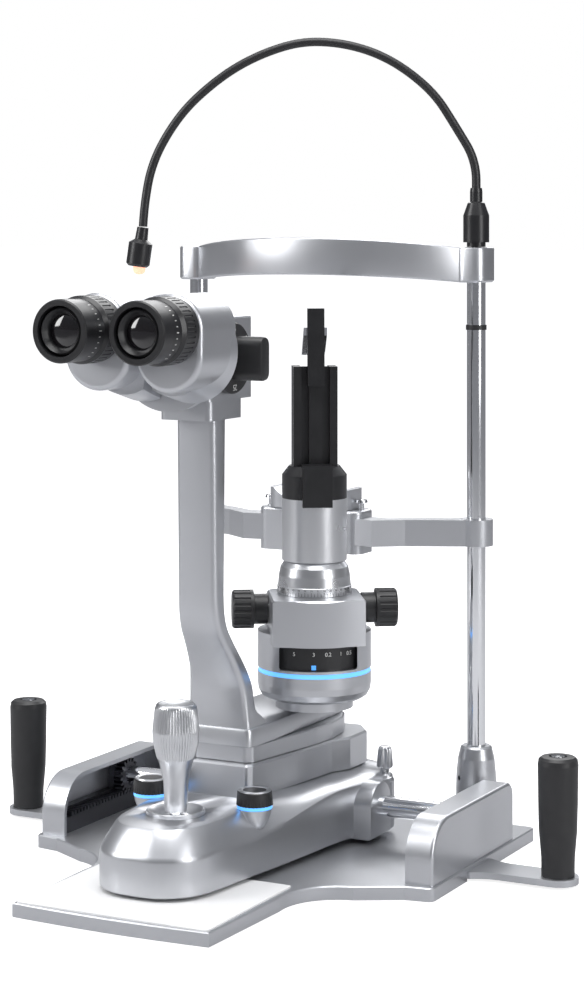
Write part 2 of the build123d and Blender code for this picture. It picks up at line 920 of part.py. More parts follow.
with BuildPart() as base_body:
    extrude(body_sketch(0, body_bottom), amount=shoulder_z - body_bottom)
    loft([body_sketch(0, shoulder_z), body_sketch(shoulder_inset, body_top)])
    with BuildSketch(side(carriage, -boss_half_width)) as boss:
        with Locations((axle_y, axle_z)):
            Circle(boss_radius)
    extrude(boss.sketch, amount=2 * boss_half_width)
    with BuildSketch(side(carriage, -120)) as axle_bore:
        with Locations((axle_y, axle_z)):
            Circle(axle_radius + fit)
    extrude(axle_bore.sketch, amount=240, mode=Mode.SUBTRACT)
    with BuildSketch(carriage.offset(column_bottom - 3)) as column_bore:
        with Locations((0, swing_y)):
            Circle(column_radius + fit)
    extrude(column_bore.sketch, amount=100, mode=Mode.SUBTRACT)
    # A conical opening for the joystick, closed at the bottom by the seat of its ball
    turn(
        upright(carriage, 0, joystick_y),
        [
            (0, joystick_pivot_z - 14),
            (joystick_well_radius, joystick_pivot_z - 14),
            (joystick_well_radius + 2, body_top + 5),
            (0, body_top + 5),
        ],
        mode=Mode.SUBTRACT,
    )
    # Rim round the joystick's opening
    turn(
        upright(carriage, 0, joystick_y),
        [
            (joystick_well_radius + 1.9, body_top),
            (cup_rim_radius, body_top),
            (cup_rim_radius, cup_rim_z - 0.6),
            (cup_rim_radius - 0.6, cup_rim_z),
            (joystick_well_radius + 1.9, cup_rim_z),
        ],
    )
    # Conical pods under the two brightness knobs
    for way in (1, -1):
        turn(
            upright(carriage, way * knob_x, knob_y),
            [
                (0, body_bottom + 12),
                (knob_radius - 4, body_bottom + 12),
                (knob_radius - 0.8, knob_foot - sliding - light_ring_height),
                (0, knob_foot - sliding - light_ring_height),
            ],
        )
        with BuildSketch(carriage.offset(knob_foot - knob_shaft_length - 1)) as knob_bore:
            with Locations((way * knob_x, knob_y)):
                Circle(knob_shaft_radius + fit)
        extrude(knob_bore.sketch, amount=30, mode=Mode.SUBTRACT)
    # Bores for the trunnions of the joystick yoke
    with BuildSketch(side(carriage, -yoke_trunnion_reach - 0.5)) as trunnion_bore:
        with Locations((joystick_y, joystick_pivot_z)):
            Circle(yoke_trunnion_radius + fit)
    extrude(trunnion_bore.sketch, amount=2 * yoke_trunnion_reach + 1, mode=Mode.SUBTRACT)
    lock_plane = carriage.offset(lock_seat_z)
    with BuildSketch(lock_plane) as lock_bore:
        with Locations((lock_x, lock_y)):
            Circle(lock_radius + 4)
    extrude(lock_bore.sketch, amount=40, mode=Mode.SUBTRACT)
    with BuildSketch(carriage.offset(lock_seat_z - 12)) as lock_hole:
        with Locations((lock_x, lock_y)):
            Circle(3 + fit)
    extrude(lock_hole.sketch, amount=20, mode=Mode.SUBTRACT)
    # Rear corners cut back round the post sockets, which they meet at the end of the travel
    relief_radius = socket_radius + relief_gap
    relief_x = post_x - side_travel - relief_radius + relief_reach / 2
    relief_y = post_y - forward_travel - relief_radius + relief_reach / 2
    with BuildSketch(carriage.offset(body_bottom - 1)) as reliefs:
        with Locations((relief_x, relief_y), (-relief_x, relief_y)):
            RectangleRounded(relief_reach, relief_reach, relief_radius)
    extrude(reliefs.sketch, amount=body_top - body_bottom + 2, mode=Mode.SUBTRACT)
save(base_body, "base_body")

with BuildPart() as glide_pad:
    with BuildSketch(carriage.offset(plate_thickness + sheet_thickness)):
        with Locations((0, -106)):
            Circle(24)
            Circle(12, mode=Mode.SUBTRACT)
    extrude(amount=body_bottom - plate_thickness - sheet_thickness)
save(glide_pad, "glide_pad")

terrace_outline = [
    (25, terrace_front),
    (29, terrace_front + 5),
    (37.5, 22),
    (43, 70),
    (51, 87),
    (51, 118),
    (38, terrace_back),
]
with BuildPart() as terrace:
    slab(carriage.offset(body_top), both_sides(terrace_outline), terrace_top - body_top)
    upright_edges = terrace.edges().filter_by(Axis.Z)
    fillet(upright_edges, radius=4)
    chamfer(terrace.edges().group_by(Axis.Z)[-1], length=1.5)
    with BuildSketch(carriage.offset(body_top)) as column_bore:
        with Locations((0, swing_y)):
            Circle(column_radius + fit)
    extrude(column_bore.sketch, amount=100, mode=Mode.SUBTRACT)
save(terrace, "terrace")

# Joystick: a ball in its seat, a tilting stem and the grip that turns on it
ball_centre = carriage.from_local_coords((0, joystick_y, joystick_pivot_z))
with BuildPart() as joystick_yoke:
    with Locations(ball_centre):
        Sphere(yoke_radius)
    with BuildSketch(side(carriage, -yoke_trunnion_reach)) as trunnions:
        with Locations((joystick_y, joystick_pivot_z)):
            Circle(yoke_trunnion_radius)
    extrude(trunnions.sketch, amount=2 * yoke_trunnion_reach)
    with BuildSketch(carriage.offset(joystick_pivot_z + 3)) as above:
        with Locations((0, joystick_y)):
            Circle(40)
    extrude(above.sketch, amount=40, mode=Mode.SUBTRACT)
    with Locations(ball_centre):
        Sphere(joystick_ball_radius + fit, mode=Mode.SUBTRACT)
save(joystick_yoke, "joystick_yoke")

with BuildPart() as joystick_stem:
    with Locations(ball_centre):
        Sphere(joystick_ball_radius)
    with BuildSketch(carriage.offset(joystick_pivot_z)):
        with Locations((0, joystick_y)):
            Circle(joystick_stem_radius)
    extrude(amount=joystick_top - 12 - joystick_pivot_z)
save(joystick_stem, "joystick_stem")

with BuildPart() as joystick_grip:
    stem_bore = joystick_stem_radius + fit
    turn(
        upright(carriage, 0, joystick_y),
        [
            (stem_bore, joystick_skirt_bottom + 6),
            (joystick_skirt_radius, joystick_skirt_bottom + 6),
            (joystick_skirt_radius + 1, joystick_neck_z - 12),
            (joystick_neck_radius, joystick_neck_z),
            (joystick_grip_radius - 0.8, joystick_neck_z + 12),
            (joystick_grip_radius, joystick_grip_wide_z),
            (joystick_grip_radius - 1.2, joystick_top - 4),
            (joystick_grip_radius - 4, joystick_top),
            (0, joystick_top),
            (0, joystick_top - 11.9),
            (stem_bore, joystick_top - 11.9),
        ],
    )
    with BuildSketch(carriage.offset(joystick_neck_z + 2)) as flutes:
        with Locations((0, joystick_y)):
            with PolarLocations(joystick_grip_radius + 0.2, joystick_flutes):
                Circle(0.9)
    extrude(flutes.sketch, amount=joystick_top - joystick_neck_z - 6, mode=Mode.SUBTRACT)
save(joystick_grip, "joystick_grip")

# Brightness knobs on lighted rings
with BuildPart() as light_rings:
    for way in (1, -1):
        turn(
            upright(carriage, way * knob_x, knob_y),
            [
                (knob_shaft_radius + fit, knob_foot - sliding - light_ring_height),
                (knob_radius - 0.6, knob_foot - sliding - light_ring_height),
                (knob_radius - 0.6, knob_foot - sliding),
                (knob_shaft_radius + fit, knob_foot - sliding),
            ],
        )
save(light_rings, "knob_light_rings")

for name, way in (("left_brightness_knob", -1), ("right_brightness_knob", 1)):
    with BuildPart() as knob:
        turn(
            upright(carriage, way * knob_x, knob_y),
            [
                (0, knob_foot - knob_shaft_length),
                (knob_shaft_radius, knob_foot - knob_shaft_length),
                (knob_shaft_radius, knob_foot),
                (knob_radius, knob_foot),
                (knob_radius - 0.8, knob_top - 1),
                (knob_radius - 2, knob_top),
                (0, knob_top),
            ],
        )
        with BuildSketch(carriage.offset(knob_foot)) as flutes:
            with Locations((way * knob_x, knob_y)):
                with PolarLocations(knob_radius + 0.2, 30):
                    Circle(0.8)
        extrude(flutes.sketch, amount=knob_height - 2.5, mode=Mode.SUBTRACT)
    save(knob, name)

with BuildPart() as axle_lock:
    turn(
        upright(carriage, lock_x, lock_y),
        [
            (0, lock_seat_z - 11.5),
            (3, lock_seat_z - 11.5),
            (3, lock_seat_z + sliding),
            (lock_radius, lock_seat_z + sliding),
            (lock_radius, lock_seat_z + 4),
            (lock_radius - 2.8, lock_seat_z + 7),
            (lock_radius - 2.6, lock_top - 12),
            (lock_radius - 1.4, lock_top - 2),
            (lock_radius - 2.6, lock_top),
            (0, lock_top),
        ],
    )
save(axle_lock, "axle_lock")

# Lift: column, platform and the spindle both arms swing on
with BuildPart() as lift_column:
    turn(
        upright(scope, 0, 0),
        [
            (0, column_bottom),
            (column_radius, column_bottom),
            (column_radius, terrace_top + seam),
            (spindle_radius, terrace_top + seam),
            (spindle_radius, spindle_top),
            (spindle_head_radius, spindle_top),
            (spindle_head_radius, spindle_top + spindle_head_height - 1),
            (spindle_head_radius - 1, spindle_top + spindle_head_height),
            (0, spindle_top + spindle_head_height),
        ],
    )
save(lift_column, "lift_column")

platform_outline = [
    (21, -141),
    (26, -137),
    (39, -57),
    (41, -32),
    (38, -8),
    (31, 10),
    (16, 26),
]
with BuildPart() as platform:
    platform_plane = scope.offset(terrace_top + seam)
    slab(platform_plane, both_sides(platform_outline), platform_top - terrace_top - seam)
    fillet(platform.edges().filter_by(Axis.Z), radius=4)
    chamfer(platform.edges().group_by(Axis.Z)[-1], length=1)
    with BuildSketch(platform_plane) as spindle_bore:
        Circle(spindle_radius + fit)
    extrude(spindle_bore.sketch, amount=30, mode=Mode.SUBTRACT)
save(platform, "platform")

# Microscope arm: a foot on the platform, a slanted shoulder and a straight column
with BuildPart() as microscope_arm:
    slab(
        side(scope, -40),
        [
            (-147.5, platform_top + seam),
            (-146.5, 119.3),
            (-147.6, 141.8),
            (-156.3, 161.7),
            (-171, 182.5),
            (-177.4, 190.8),
            (arm_column_front, 213),
            (arm_column_front - 2, arm_column_top),
            (arm_column_back, arm_column_top),
            (arm_column_back - 2, 192.3),
            (-153.9, 179.9),
            (-145.3, 169.2),
            (-137.9, 157.2),
            (-131, 148.6),
            (-125.3, 141.7),
            (-121, 131.9),
            (-118, 121.5),
            (-115.7, 116.6),
            (-34, arm_foot_top),
            (31, arm_foot_top),
            (31, platform_top + seam),
        ],
        80,
    )
    slab(
        upright(scope, 0, -220),
        both_sides(
            [
                (31, platform_top),
                (30, 112),
                (26.5, 119.3),
                (23.7, 141.8),
                (20.7, 161.7),
                (17.3, 186),
                (arm_column_half_width, 200),
                (arm_column_half_width, arm_column_top),
            ]
        ),
        -300,
        mode=Mode.INTERSECT,
    )
    with BuildSketch(scope.offset(platform_top)) as foot_plan:
        with BuildLine():
            edge = Line((0, -200), (26, -200))
            edge = Line(edge @ 1, (26, -165))
            edge = Line(edge @ 1, (28.3, -147))
            edge = Line(edge @ 1, (31, -52))
            edge = Line(edge @ 1, (29.5, -5))
            ThreePointArc(edge @ 1, (21, 21), (0, 30))
            mirror(about=Plane.YZ)
        make_face()
    extrude(foot_plan.sketch, amount=300, mode=Mode.INTERSECT)
    with BuildSketch(scope.offset(118)) as swing_cut:
        Circle(lamp_sweep_radius)
    extrude(swing_cut.sketch, amount=120, mode=Mode.SUBTRACT)
    with BuildSketch(scope.offset(platform_top)) as hub_bore:
        Circle(spindle_radius + fit)
    extrude(hub_bore.sketch, amount=30, mode=Mode.SUBTRACT)
save(microscope_arm, "microscope_arm")

with BuildPart() as head_block:
    with BuildSketch(scope.offset(arm_column_top)):
        with Locations((0, -171)):
            RectangleRounded(44, 50, 5)
    extrude(amount=head_block_top - arm_column_top)
save(head_block, "head_block")

box_bottom = head_block_top
with BuildPart() as magnification_box:
    with BuildSketch(scope.offset(box_bottom)):
        with BuildLine():
            front = Line((-box_half_width, box_front), (box_half_width, box_front))
            right = Line(front @ 1, (box_half_width, box_back))
            back = ThreePointArc(
                right @ 1, (0, box_back + box_bulge), (-box_half_width, box_back)
            )
            Line(back @ 1, front @ 0)
        make_face()
    extrude(amount=box_top - box_bottom)
    fillet(magnification_box.edges().filter_by(Axis.Z), radius=4)
    fillet(magnification_box.edges().group_by(Axis.Z)[-1], radius=3)
    with BuildSketch(side(scope, box_half_width + 1)) as shaft_bore:
        with Locations((dial_y, optical_z)):
            Circle(dial_shaft_radius + fit)
    extrude(shaft_bore.sketch, amount=-14, mode=Mode.SUBTRACT)
save(magnification_box, "magnification_box")

with BuildPart() as magnification_dial:
    with BuildSketch(side(scope, box_half_width + 0.8)) as dial_disc:
        with Locations((dial_y, optical_z)):
            Circle(dial_radius)
    extrude(dial_disc.sketch, amount=dial_thickness)
    chamfer(magnification_dial.edges().group_by(Axis.X)[-1], length=1)
    with BuildSketch(side(scope, box_half_width - 12)) as dial_shaft:
        with Locations((dial_y, optical_z)):
            Circle(dial_shaft_radius)
    extrude(dial_shaft.sketch, amount=13)
save(magnification_dial, "magnification_dial")

with BuildPart() as dial_knob:
    knob_start = box_half_width + 0.8 + dial_thickness
    with BuildSketch(side(scope, knob_start)) as knob_foot_ring:
        with Locations((dial_y, optical_z)):
            Circle(15)
    extrude(knob_foot_ring.sketch, amount=4)
    with BuildSketch(side(scope, knob_start)) as knob_bar:
        with Locations((dial_y, optical_z)):
            SlotOverall(dial_knob_length, dial_knob_width)
    extrude(knob_bar.sketch, amount=dial_knob_reach - knob_start)
    fillet(dial_knob.edges().group_by(Axis.X)[-1], radius=2)
save(dial_knob, "dial_knob")

with BuildPart() as objective:
    turn(
        lying(scope, 0, box_back + box_bulge, optical_z),
        [
            (0, -2.0),
            (objective_radius, -2.0),
            (objective_radius, objective_length - 1),
            (objective_radius - 1, objective_length),
            (objective_radius - 3, objective_length),
            (objective_radius - 4, objective_length - 3),
            (0, objective_length - 3),
        ],
    )
    add(magnification_box.part, mode=Mode.SUBTRACT)
save(objective, "objective")

# Binocular: a round plate, two prism housings that turn on it and the eyepieces
plate_back_y = prism_back + sliding + binocular_plate_thickness
with BuildPart() as binocular_plate:
    turn(
        lying(scope, 0, box_front, 398),
        [
            (0, 0),
            (26, 0),
            (26, plate_back_y - box_front),
            (binocular_plate_radius, plate_back_y - box_front),
            (binocular_plate_radius, prism_back + sliding - box_front),
            (0, prism_back + sliding - box_front),
        ],
    )
    with BuildSketch(upright(scope, 0, prism_back)) as pivot_bores:
        with Locations((tube_pivot_x, tube_pivot_z), (-tube_pivot_x, tube_pivot_z)):
            Circle(tube_pivot_radius + fit)
    extrude(pivot_bores.sketch, amount=-tube_pivot_length - 1, mode=Mode.SUBTRACT)
save(binocular_plate, "binocular_plate")

flank_slope = tan(radians(10.6))
for name, way in (("left_prism_housing", -1), ("right_prism_housing", 1)):
    with BuildPart() as housing:
        depth = prism_back - prism_front
        with BuildSketch(upright(scope, 0, prism_back)):
            with BuildSketch(mode=Mode.PRIVATE) as hull:
                with Locations((way * eye_x, eye_z)):
                    Circle(prism_eye_radius)
                with Locations((way * prism_low_x, prism_low_z)):
                    Circle(prism_low_radius)
                make_hull()
            add(hull.sketch)
        extrude(amount=depth)
        fillet(housing.edges().group_by(Axis.Y)[0], radius=4)
        with BuildSketch(upright(scope, 0, prism_back)) as back_disc:
            with Locations((way * 20, 401)):
                Circle(39)
        extrude(back_disc.sketch, amount=depth * 0.55, taper=14)
        flank = [
            (way * 0.2, tube_pivot_z),
            (way * (0.2 + 80 * flank_slope), tube_pivot_z + 80),
            (way * -90, tube_pivot_z + 80),
            (way * -90, tube_pivot_z - 80),
            (way * (0.2 + 80 * flank_slope), tube_pivot_z - 80),
        ]
        slab(upright(scope, 0, prism_back + 1), flank, 80, mode=Mode.SUBTRACT)
        with BuildSketch(upright(scope, 0, prism_back)) as pivot:
            with Locations((way * tube_pivot_x, tube_pivot_z)):
                Circle(tube_pivot_radius)
        extrude(pivot.sketch, amount=-tube_pivot_length)
    save(housing, name)

for name, way in (("left", -1), ("right", 1)):
    eye_plane = lying(scope, way * eye_x, prism_front, eye_z)
    with BuildPart() as eyepiece_tube:
        turn(
            eye_plane,
            [
                (0, 0),
                (24.2, 0),
                (24.2, -4),
                (17, -4),
                (17, -26),
                (lens_radius + 1, -26),
                (lens_radius, -24),
                (0, -25.2),
            ],
        )
    save(eyepiece_tube, f"{name}_eyepiece_tube")
    with BuildPart() as diopter_ring:
        ring_back = -4.3
        face = eye_face_y - prism_front
        turn(
            eye_plane,
            [
                (17 + fit, ring_back),
                (eyepiece_radius + 0.6, ring_back),
                (eyepiece_radius + 0.6, ring_back - 14),
                (eyepiece_radius - 1.5, ring_back - 17),
                (eyepiece_radius - 1.8, face + 14),
                (eyecup_radius, face + 13),
                (eyecup_radius, face + 1),
                (eyecup_radius - 1, face),
                (eyecup_radius - 4.5, face),
                (17 + fit, face + 12),
            ],
        )
        with BuildSketch(upright(scope, 0, prism_front + ring_back - 1)) as flutes:
            with Locations((way * eye_x, eye_z)):
                with PolarLocations(eyepiece_radius + 1, 40):
                    Circle(0.9)
        extrude(flutes.sketch, amount=11, mode=Mode.SUBTRACT)
    save(diopter_ring, f"{name}_diopter_ring")

# Illumination: hub, arm and drum
with BuildPart() as lamp_arm:
    with BuildSketch(lamp.offset(lamp_hub_bottom)) as hub:
        Circle(lamp_hub_radius)
    extrude(hub.sketch, amount=lamp_hub_top - lamp_hub_bottom)
    with BuildSketch(lamp.offset(lamp_beam_bottom)) as beam:
        with Locations((0, -lamp_reach / 2)):
            Rectangle(2 * lamp_neck_half_width, lamp_reach)
        with Locations((0, -lamp_reach)):
            Circle(30)
    extrude(beam.sketch, amount=drum_bottom - lamp_beam_bottom)
    with BuildSketch(lamp.offset(drum_bottom - 1)) as neck:
        with Locations((0, -19)):
            Rectangle(2 * lamp_neck_half_width, 38)
    extrude(neck.sketch, amount=16)
    with BuildSketch(lamp.offset(drum_bottom)) as drum_cut:
        with Locations((0, -lamp_reach)):
            Circle(drum_radius)
    extrude(drum_cut.sketch, amount=40, mode=Mode.SUBTRACT)
    with BuildSketch(lamp.offset(100)) as hub_bore:
        Circle(spindle_radius + fit)
    extrude(hub_bore.sketch, amount=60, mode=Mode.SUBTRACT)
save(lamp_arm, "lamp_arm")

with BuildPart() as lower_drum:
    turn(
        upright(tower, 0, 0),
        [
            (0, drum_bottom),
            (drum_foot_radius, drum_bottom),
            (drum_radius - 3, drum_bottom + 2.5),
            (drum_radius - 0.6, drum_bottom + 7),
            (drum_radius, drum_bottom + 12),
            (drum_radius, light_ring_bottom),
            (0, light_ring_bottom),
        ],
    )
save(lower_drum, "lower_drum")

with BuildPart() as drum_light_ring:
    with BuildSketch(tower.offset(light_ring_bottom)):
        Circle(drum_radius - 0.6)
    extrude(amount=light_ring_top - light_ring_bottom)
save(drum_light_ring, "drum_light_ring")

with BuildPart() as upper_drum:
    with BuildSketch(tower.offset(light_ring_top)):
        Circle(drum_radius)
    extrude(amount=drum_top - light_ring_top)
    with BuildSketch(tower.offset(window_bottom - sliding)) as cavity:
        Circle(dial_ring_radius + 0.4)
        Circle(dial_ring_core, mode=Mode.SUBTRACT)
    extrude(cavity.sketch, amount=window_top - window_bottom + 2 * sliding, mode=Mode.SUBTRACT)
    with BuildSketch(upright(tower, 0, -60)) as window:
        with Locations((0, (window_bottom + window_top) / 2)):
            RectangleRounded(2 * window_half_width, window_top - window_bottom, 2)
    extrude(window.sketch, amount=-(60 - 22), mode=Mode.SUBTRACT)
    with BuildSketch(tower.offset(window_bottom - sliding)) as core:
        Circle(dial_ring_core)
    extrude(core.sketch, amount=window_top - window_bottom + 2 * sliding)
save(upper_drum, "upper_drum")

with BuildPart() as filter_dial:
    with BuildSketch(tower.offset(window_bottom)):
        Circle(dial_ring_radius)
        Circle(dial_ring_core + fit, mode=Mode.SUBTRACT)
    extrude(amount=window_top - window_bottom)
save(filter_dial, "filter_dial")

# Slit block with its shaft, knobs and turning ring
with BuildPart() as slit_block:
    with BuildSketch(tower.offset(slit_block_chin)) as block_plan:
        with Locations((0, -(slit_block_front - 24) / 2)):
            RectangleRounded(2 * slit_block_half_width, slit_block_front + 24, 8)
    extrude(block_plan.sketch, amount=slit_block_top - slit_block_chin)
    chamfer(slit_block.edges().group_by(Axis.Z)[-1], length=1.5)
    with BuildSketch(tower.offset(slit_block_chin - 1)) as drum_seat:
        Circle(drum_radius)
        with Locations((0, 20)):
            Rectangle(120, 60)
    extrude(drum_seat.sketch, amount=drum_top - slit_block_chin + 1, mode=Mode.SUBTRACT)
    with BuildSketch(lamp.offset(slit_block_chin - 1)) as sweep_limit:
        Circle(slit_sweep_radius)
    extrude(sweep_limit.sketch, amount=60, mode=Mode.INTERSECT)
    with BuildSketch(tower.offset(slit_block_top)) as tube:
        Circle(inner_tube_radius)
    extrude(tube.sketch, amount=cylinder_bottom - slit_block_top)
    with BuildSketch(side(tower, -60)) as shaft_bore:
        with Locations((0, slit_shaft_z)):
            Circle(slit_shaft_radius + fit)
    extrude(shaft_bore.sketch, amount=120, mode=Mode.SUBTRACT)
save(slit_block, "slit_block")

with BuildPart() as slit_shaft:
    with BuildSketch(side(tower, -slit_knob_outer_x + 6)):
        with Locations((0, slit_shaft_z)):
            Circle(slit_shaft_radius)
    extrude(amount=2 * slit_knob_outer_x - 12)
save(slit_shaft, "slit_shaft")

with BuildPart() as slit_knobs:
    inner_x = slit_block_half_width + 0.6
    for way in (1, -1):
        knob_plane = Plane(
            origin=tower.from_local_coords((0, 0, slit_shaft_z)),
            x_dir=(0, 0, 1),
            z_dir=tower.y_dir * way,
        )
        turn(
            knob_plane,
            [
                (slit_shaft_radius + fit, inner_x),
                (slit_knob_neck_radius, inner_x),
                (slit_knob_neck_radius, slit_knob_inner_x),
                (slit_knob_radius, slit_knob_inner_x + 0.5),
                (slit_knob_radius, slit_knob_outer_x - 1.5),
                (slit_knob_radius - 1.5, slit_knob_outer_x),
                (0, slit_knob_outer_x),
                (0, slit_knob_outer_x - 6),
                (slit_shaft_radius + fit, slit_knob_outer_x - 6),
            ],
        )
        with BuildSketch(side(tower, way * slit_knob_outer_x)) as flutes:
            with Locations((0, slit_shaft_z)):
                with PolarLocations(slit_knob_radius + 0.6, slit_knob_flutes):
                    Circle(1.5)
        flute_run = slit_knob_outer_x - slit_knob_inner_x - 3
        extrude(flutes.sketch, amount=-way * flute_run, mode=Mode.SUBTRACT)
save(slit_knobs, "slit_knobs")

with BuildPart() as slit_ring:
    turn(
        upright(tower, 0, 0),
        [
            (inner_tube_radius + fit, slit_block_top + sliding),
            (ring_radius, slit_block_top + sliding),
            (ring_radius, ring_scale_top),
            (ring_radius - 0.5, ring_scale_top + 0.4),
            (ring_radius - 1.2, ring_scale_top + 8),
            (ring_radius - 2.6, ring_top - 4),
            (ring_radius - 5.5, ring_top),
            (inner_tube_radius + fit, ring_top),
        ],
    )
save(slit_ring, "slit_ring")

with BuildPart() as lamp_cylinder:
    with BuildSketch(tower.offset(cylinder_bottom)):
        Circle(cylinder_radius)
    extrude(amount=cylinder_top - cylinder_bottom)
    chamfer(lamp_cylinder.edges().group_by(Axis.Z)[0], length=0.6)
save(lamp_cylinder, "lamp_cylinder")

with BuildPart() as lamp_collar:
    turn(
        upright(tower, 0, 0),
        [
            (0, cylinder_top),
            (cylinder_radius, cylinder_top),
            (cylinder_radius, collar_top),
            (collar_cone_radius, collar_cone_top),
            (0, collar_cone_top),
        ],
    )
save(lamp_collar, "lamp_collar")

with BuildPart() as mirror_tower:
    for way in (1, -1):
        with BuildSketch(tower.offset(collar_cone_top)) as cheek:
            with Locations((way * (tower_half_width - 3), 0)):
                Rectangle(6, 22)
        extrude(cheek.sketch, amount=tower_top - collar_cone_top)
    with BuildSketch(tower.offset(collar_cone_top)) as spine:
        with Locations((0, -9)):
            Rectangle(10.4, 4)
        with Locations((0, -6)):
            Rectangle(2 * tower_half_width - 6, 2)
    extrude(spine.sketch, amount=tower_top - collar_cone_top)
    slab(
        side(tower, -mirror_bracket_half_width),
        [
            (-16, tower_top - 15),
            (-10.5, tower_top - 15),
            (-10.5, tower_top),
            (-9, bracket_top),
            (-14, bracket_top),
        ],
        2 * mirror_bracket_half_width,
    )
    with BuildSketch(tower.offset(275)) as front_plate:
        with Locations((0, -cylinder_radius - 0.5)):
            Rectangle(23, 5)
    extrude(front_plate.sketch, amount=32)
    with BuildSketch(tower.offset(collar_cone_top)) as bridge:
        with Locations((0, -18)):
            Rectangle(23, 16)
    extrude(bridge.sketch, amount=2)
    with BuildSketch(tower.offset(270)) as clear:
        Circle(cylinder_radius)
    extrude(clear.sketch, amount=collar_cone_top - 270, mode=Mode.SUBTRACT)
save(mirror_tower, "mirror_tower")

with BuildPart() as lamp_mirror:
    mirror_z = 398
    slab(
        side(tower, -9),
        [
            (-9.0, mirror_z + 14),
            (-7.2, mirror_z + 14),
            (12, mirror_z - 8),
            (9, mirror_z - 8),
            (-9.0, mirror_z + 8),
        ],
        18,
    )
save(lamp_mirror, "lamp_mirror")
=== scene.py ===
import json
from math import atan2, cos, pi, radians, sin

import bmesh
import bpy
from mathutils import Matrix, Vector


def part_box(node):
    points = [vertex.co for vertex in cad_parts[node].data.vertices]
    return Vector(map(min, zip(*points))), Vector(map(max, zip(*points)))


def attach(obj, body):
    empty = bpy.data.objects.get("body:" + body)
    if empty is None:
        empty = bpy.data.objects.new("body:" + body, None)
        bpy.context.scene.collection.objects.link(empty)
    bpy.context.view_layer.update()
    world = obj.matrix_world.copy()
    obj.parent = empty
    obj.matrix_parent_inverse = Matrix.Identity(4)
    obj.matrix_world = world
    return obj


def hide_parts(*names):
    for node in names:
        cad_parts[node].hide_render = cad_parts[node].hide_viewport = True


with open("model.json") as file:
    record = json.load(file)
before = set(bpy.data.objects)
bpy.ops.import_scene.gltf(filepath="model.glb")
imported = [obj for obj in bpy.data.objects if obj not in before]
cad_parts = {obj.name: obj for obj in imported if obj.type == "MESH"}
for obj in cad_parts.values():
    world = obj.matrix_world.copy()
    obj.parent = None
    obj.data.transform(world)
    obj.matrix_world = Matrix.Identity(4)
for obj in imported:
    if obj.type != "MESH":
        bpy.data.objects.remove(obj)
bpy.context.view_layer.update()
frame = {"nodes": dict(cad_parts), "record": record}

# Slit lamp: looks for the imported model, in the model's own frame. Objects are in metres, and the
# profiles and outlines of the turned and skinned pieces are written in millimetres.
nodes = frame["nodes"]
scene = bpy.context.scene

# Camera at the photograph's angle: level, 27 degrees to the examiner's right
camera_place = (0.88362, -1.63892, 0.49231)
camera_turn = radians(27.27)
camera_lens = 87.03
camera_shift = -0.2762
camera_data = bpy.data.cameras.new("camera")
camera_data.sensor_width = 36
camera_data.lens = camera_lens
camera_data.shift_y = camera_shift
camera = bpy.data.objects.new("camera", camera_data)
camera.location = camera_place
camera.rotation_euler = (pi / 2, 0, camera_turn)
scene.collection.objects.link(camera)
scene.camera = camera
scene.view_settings.view_transform = "Standard"

# Places of the moving groups at rest, in metres and radians
carriage_x = -0.005
swing_y = 0.108
lamp_angle = radians(32)
lamp_reach = 0.083
dial_centre_y = -0.185
optical_z = 0.3935
eye_x = 0.0314
eye_z = 0.417
carriage = Matrix.Translation((carriage_x, 0, 0))
scope = Matrix.Translation((carriage_x, swing_y, 0))
lamp = scope @ Matrix.Rotation(lamp_angle, 4, "Z")
tower = lamp @ Matrix.Translation((0, -lamp_reach, 0))

# Places on the instrument base and the head rest, in millimetres
joystick_y = -101
knob_x = 44.5
knob_y = -61.7
axle_y = 75
axle_z = 37
deck_z = 60
post_x = 127.5

joystick_frame = carriage @ Matrix.Translation((0, joystick_y / 1000, 0))
sides = (("left", -1), ("right", 1))


# Materials

def node_material(name):
    """A new material with its Principled shader and a place for more nodes."""
    material = bpy.data.materials.new(name)
    material.use_nodes = True
    shader = material.node_tree.nodes["Principled BSDF"]
    return material, material.node_tree, shader


def add_node(tree, kind, **values):
    """A node of a kind, with the values of its inputs by name."""
    node = tree.nodes.new(kind)
    for key, value in values.items():
        node.inputs[key].default_value = value
    return node


def object_place(tree):
    """Coordinates that are fixed to the object."""
    return add_node(tree, "ShaderNodeTexCoord").outputs["Object"]


def varied(tree, shader, low, high, scale, coordinates):
    """Roughness that drifts between two values over the surface."""
    noise = add_node(tree, "ShaderNodeTexNoise", Scale=scale, Detail=3.0)
    spread = add_node(tree, "ShaderNodeMapRange")
    spread.inputs["To Min"].default_value = low
    spread.inputs["To Max"].default_value = high
    tree.links.new(coordinates, noise.inputs["Vector"])
    tree.links.new(noise.outputs["Fac"], spread.inputs["Value"])
    tree.links.new(spread.outputs["Result"], shader.inputs["Roughness"])
    return noise


def toned(tree, target, coordinates, scale, detail, low, high, span=(0.0, 1.0)):
    """Colour that drifts between two tones over the surface."""
    noise = add_node(tree, "ShaderNodeTexNoise", Scale=scale, Detail=detail)
    ramp = add_node(tree, "ShaderNodeValToRGB")
    for element, position, colour in zip(ramp.color_ramp.elements, span, (low, high)):
        element.position = position
        element.color = (*colour, 1)
    tree.links.new(coordinates, noise.inputs["Vector"])
    tree.links.new(noise.outputs["Fac"], ramp.inputs["Fac"])
    tree.links.new(ramp.outputs["Color"], target)


def bumped(tree, shader, height, strength, distance):
    """Fine relief from a height."""
    bump = add_node(tree, "ShaderNodeBump", Strength=strength, Distance=distance)
    tree.links.new(height, bump.inputs["Height"])
    tree.links.new(bump.outputs["Normal"], shader.inputs["Normal"])


def grained(tree, shader, coordinates, scale, detail, strength, distance):
    """Fine relief from a noise."""
    grain = add_node(tree, "ShaderNodeTexNoise", Scale=scale, Detail=detail)
    tree.links.new(coordinates, grain.inputs["Vector"])
    bumped(tree, shader, grain.outputs["Fac"], strength, distance)


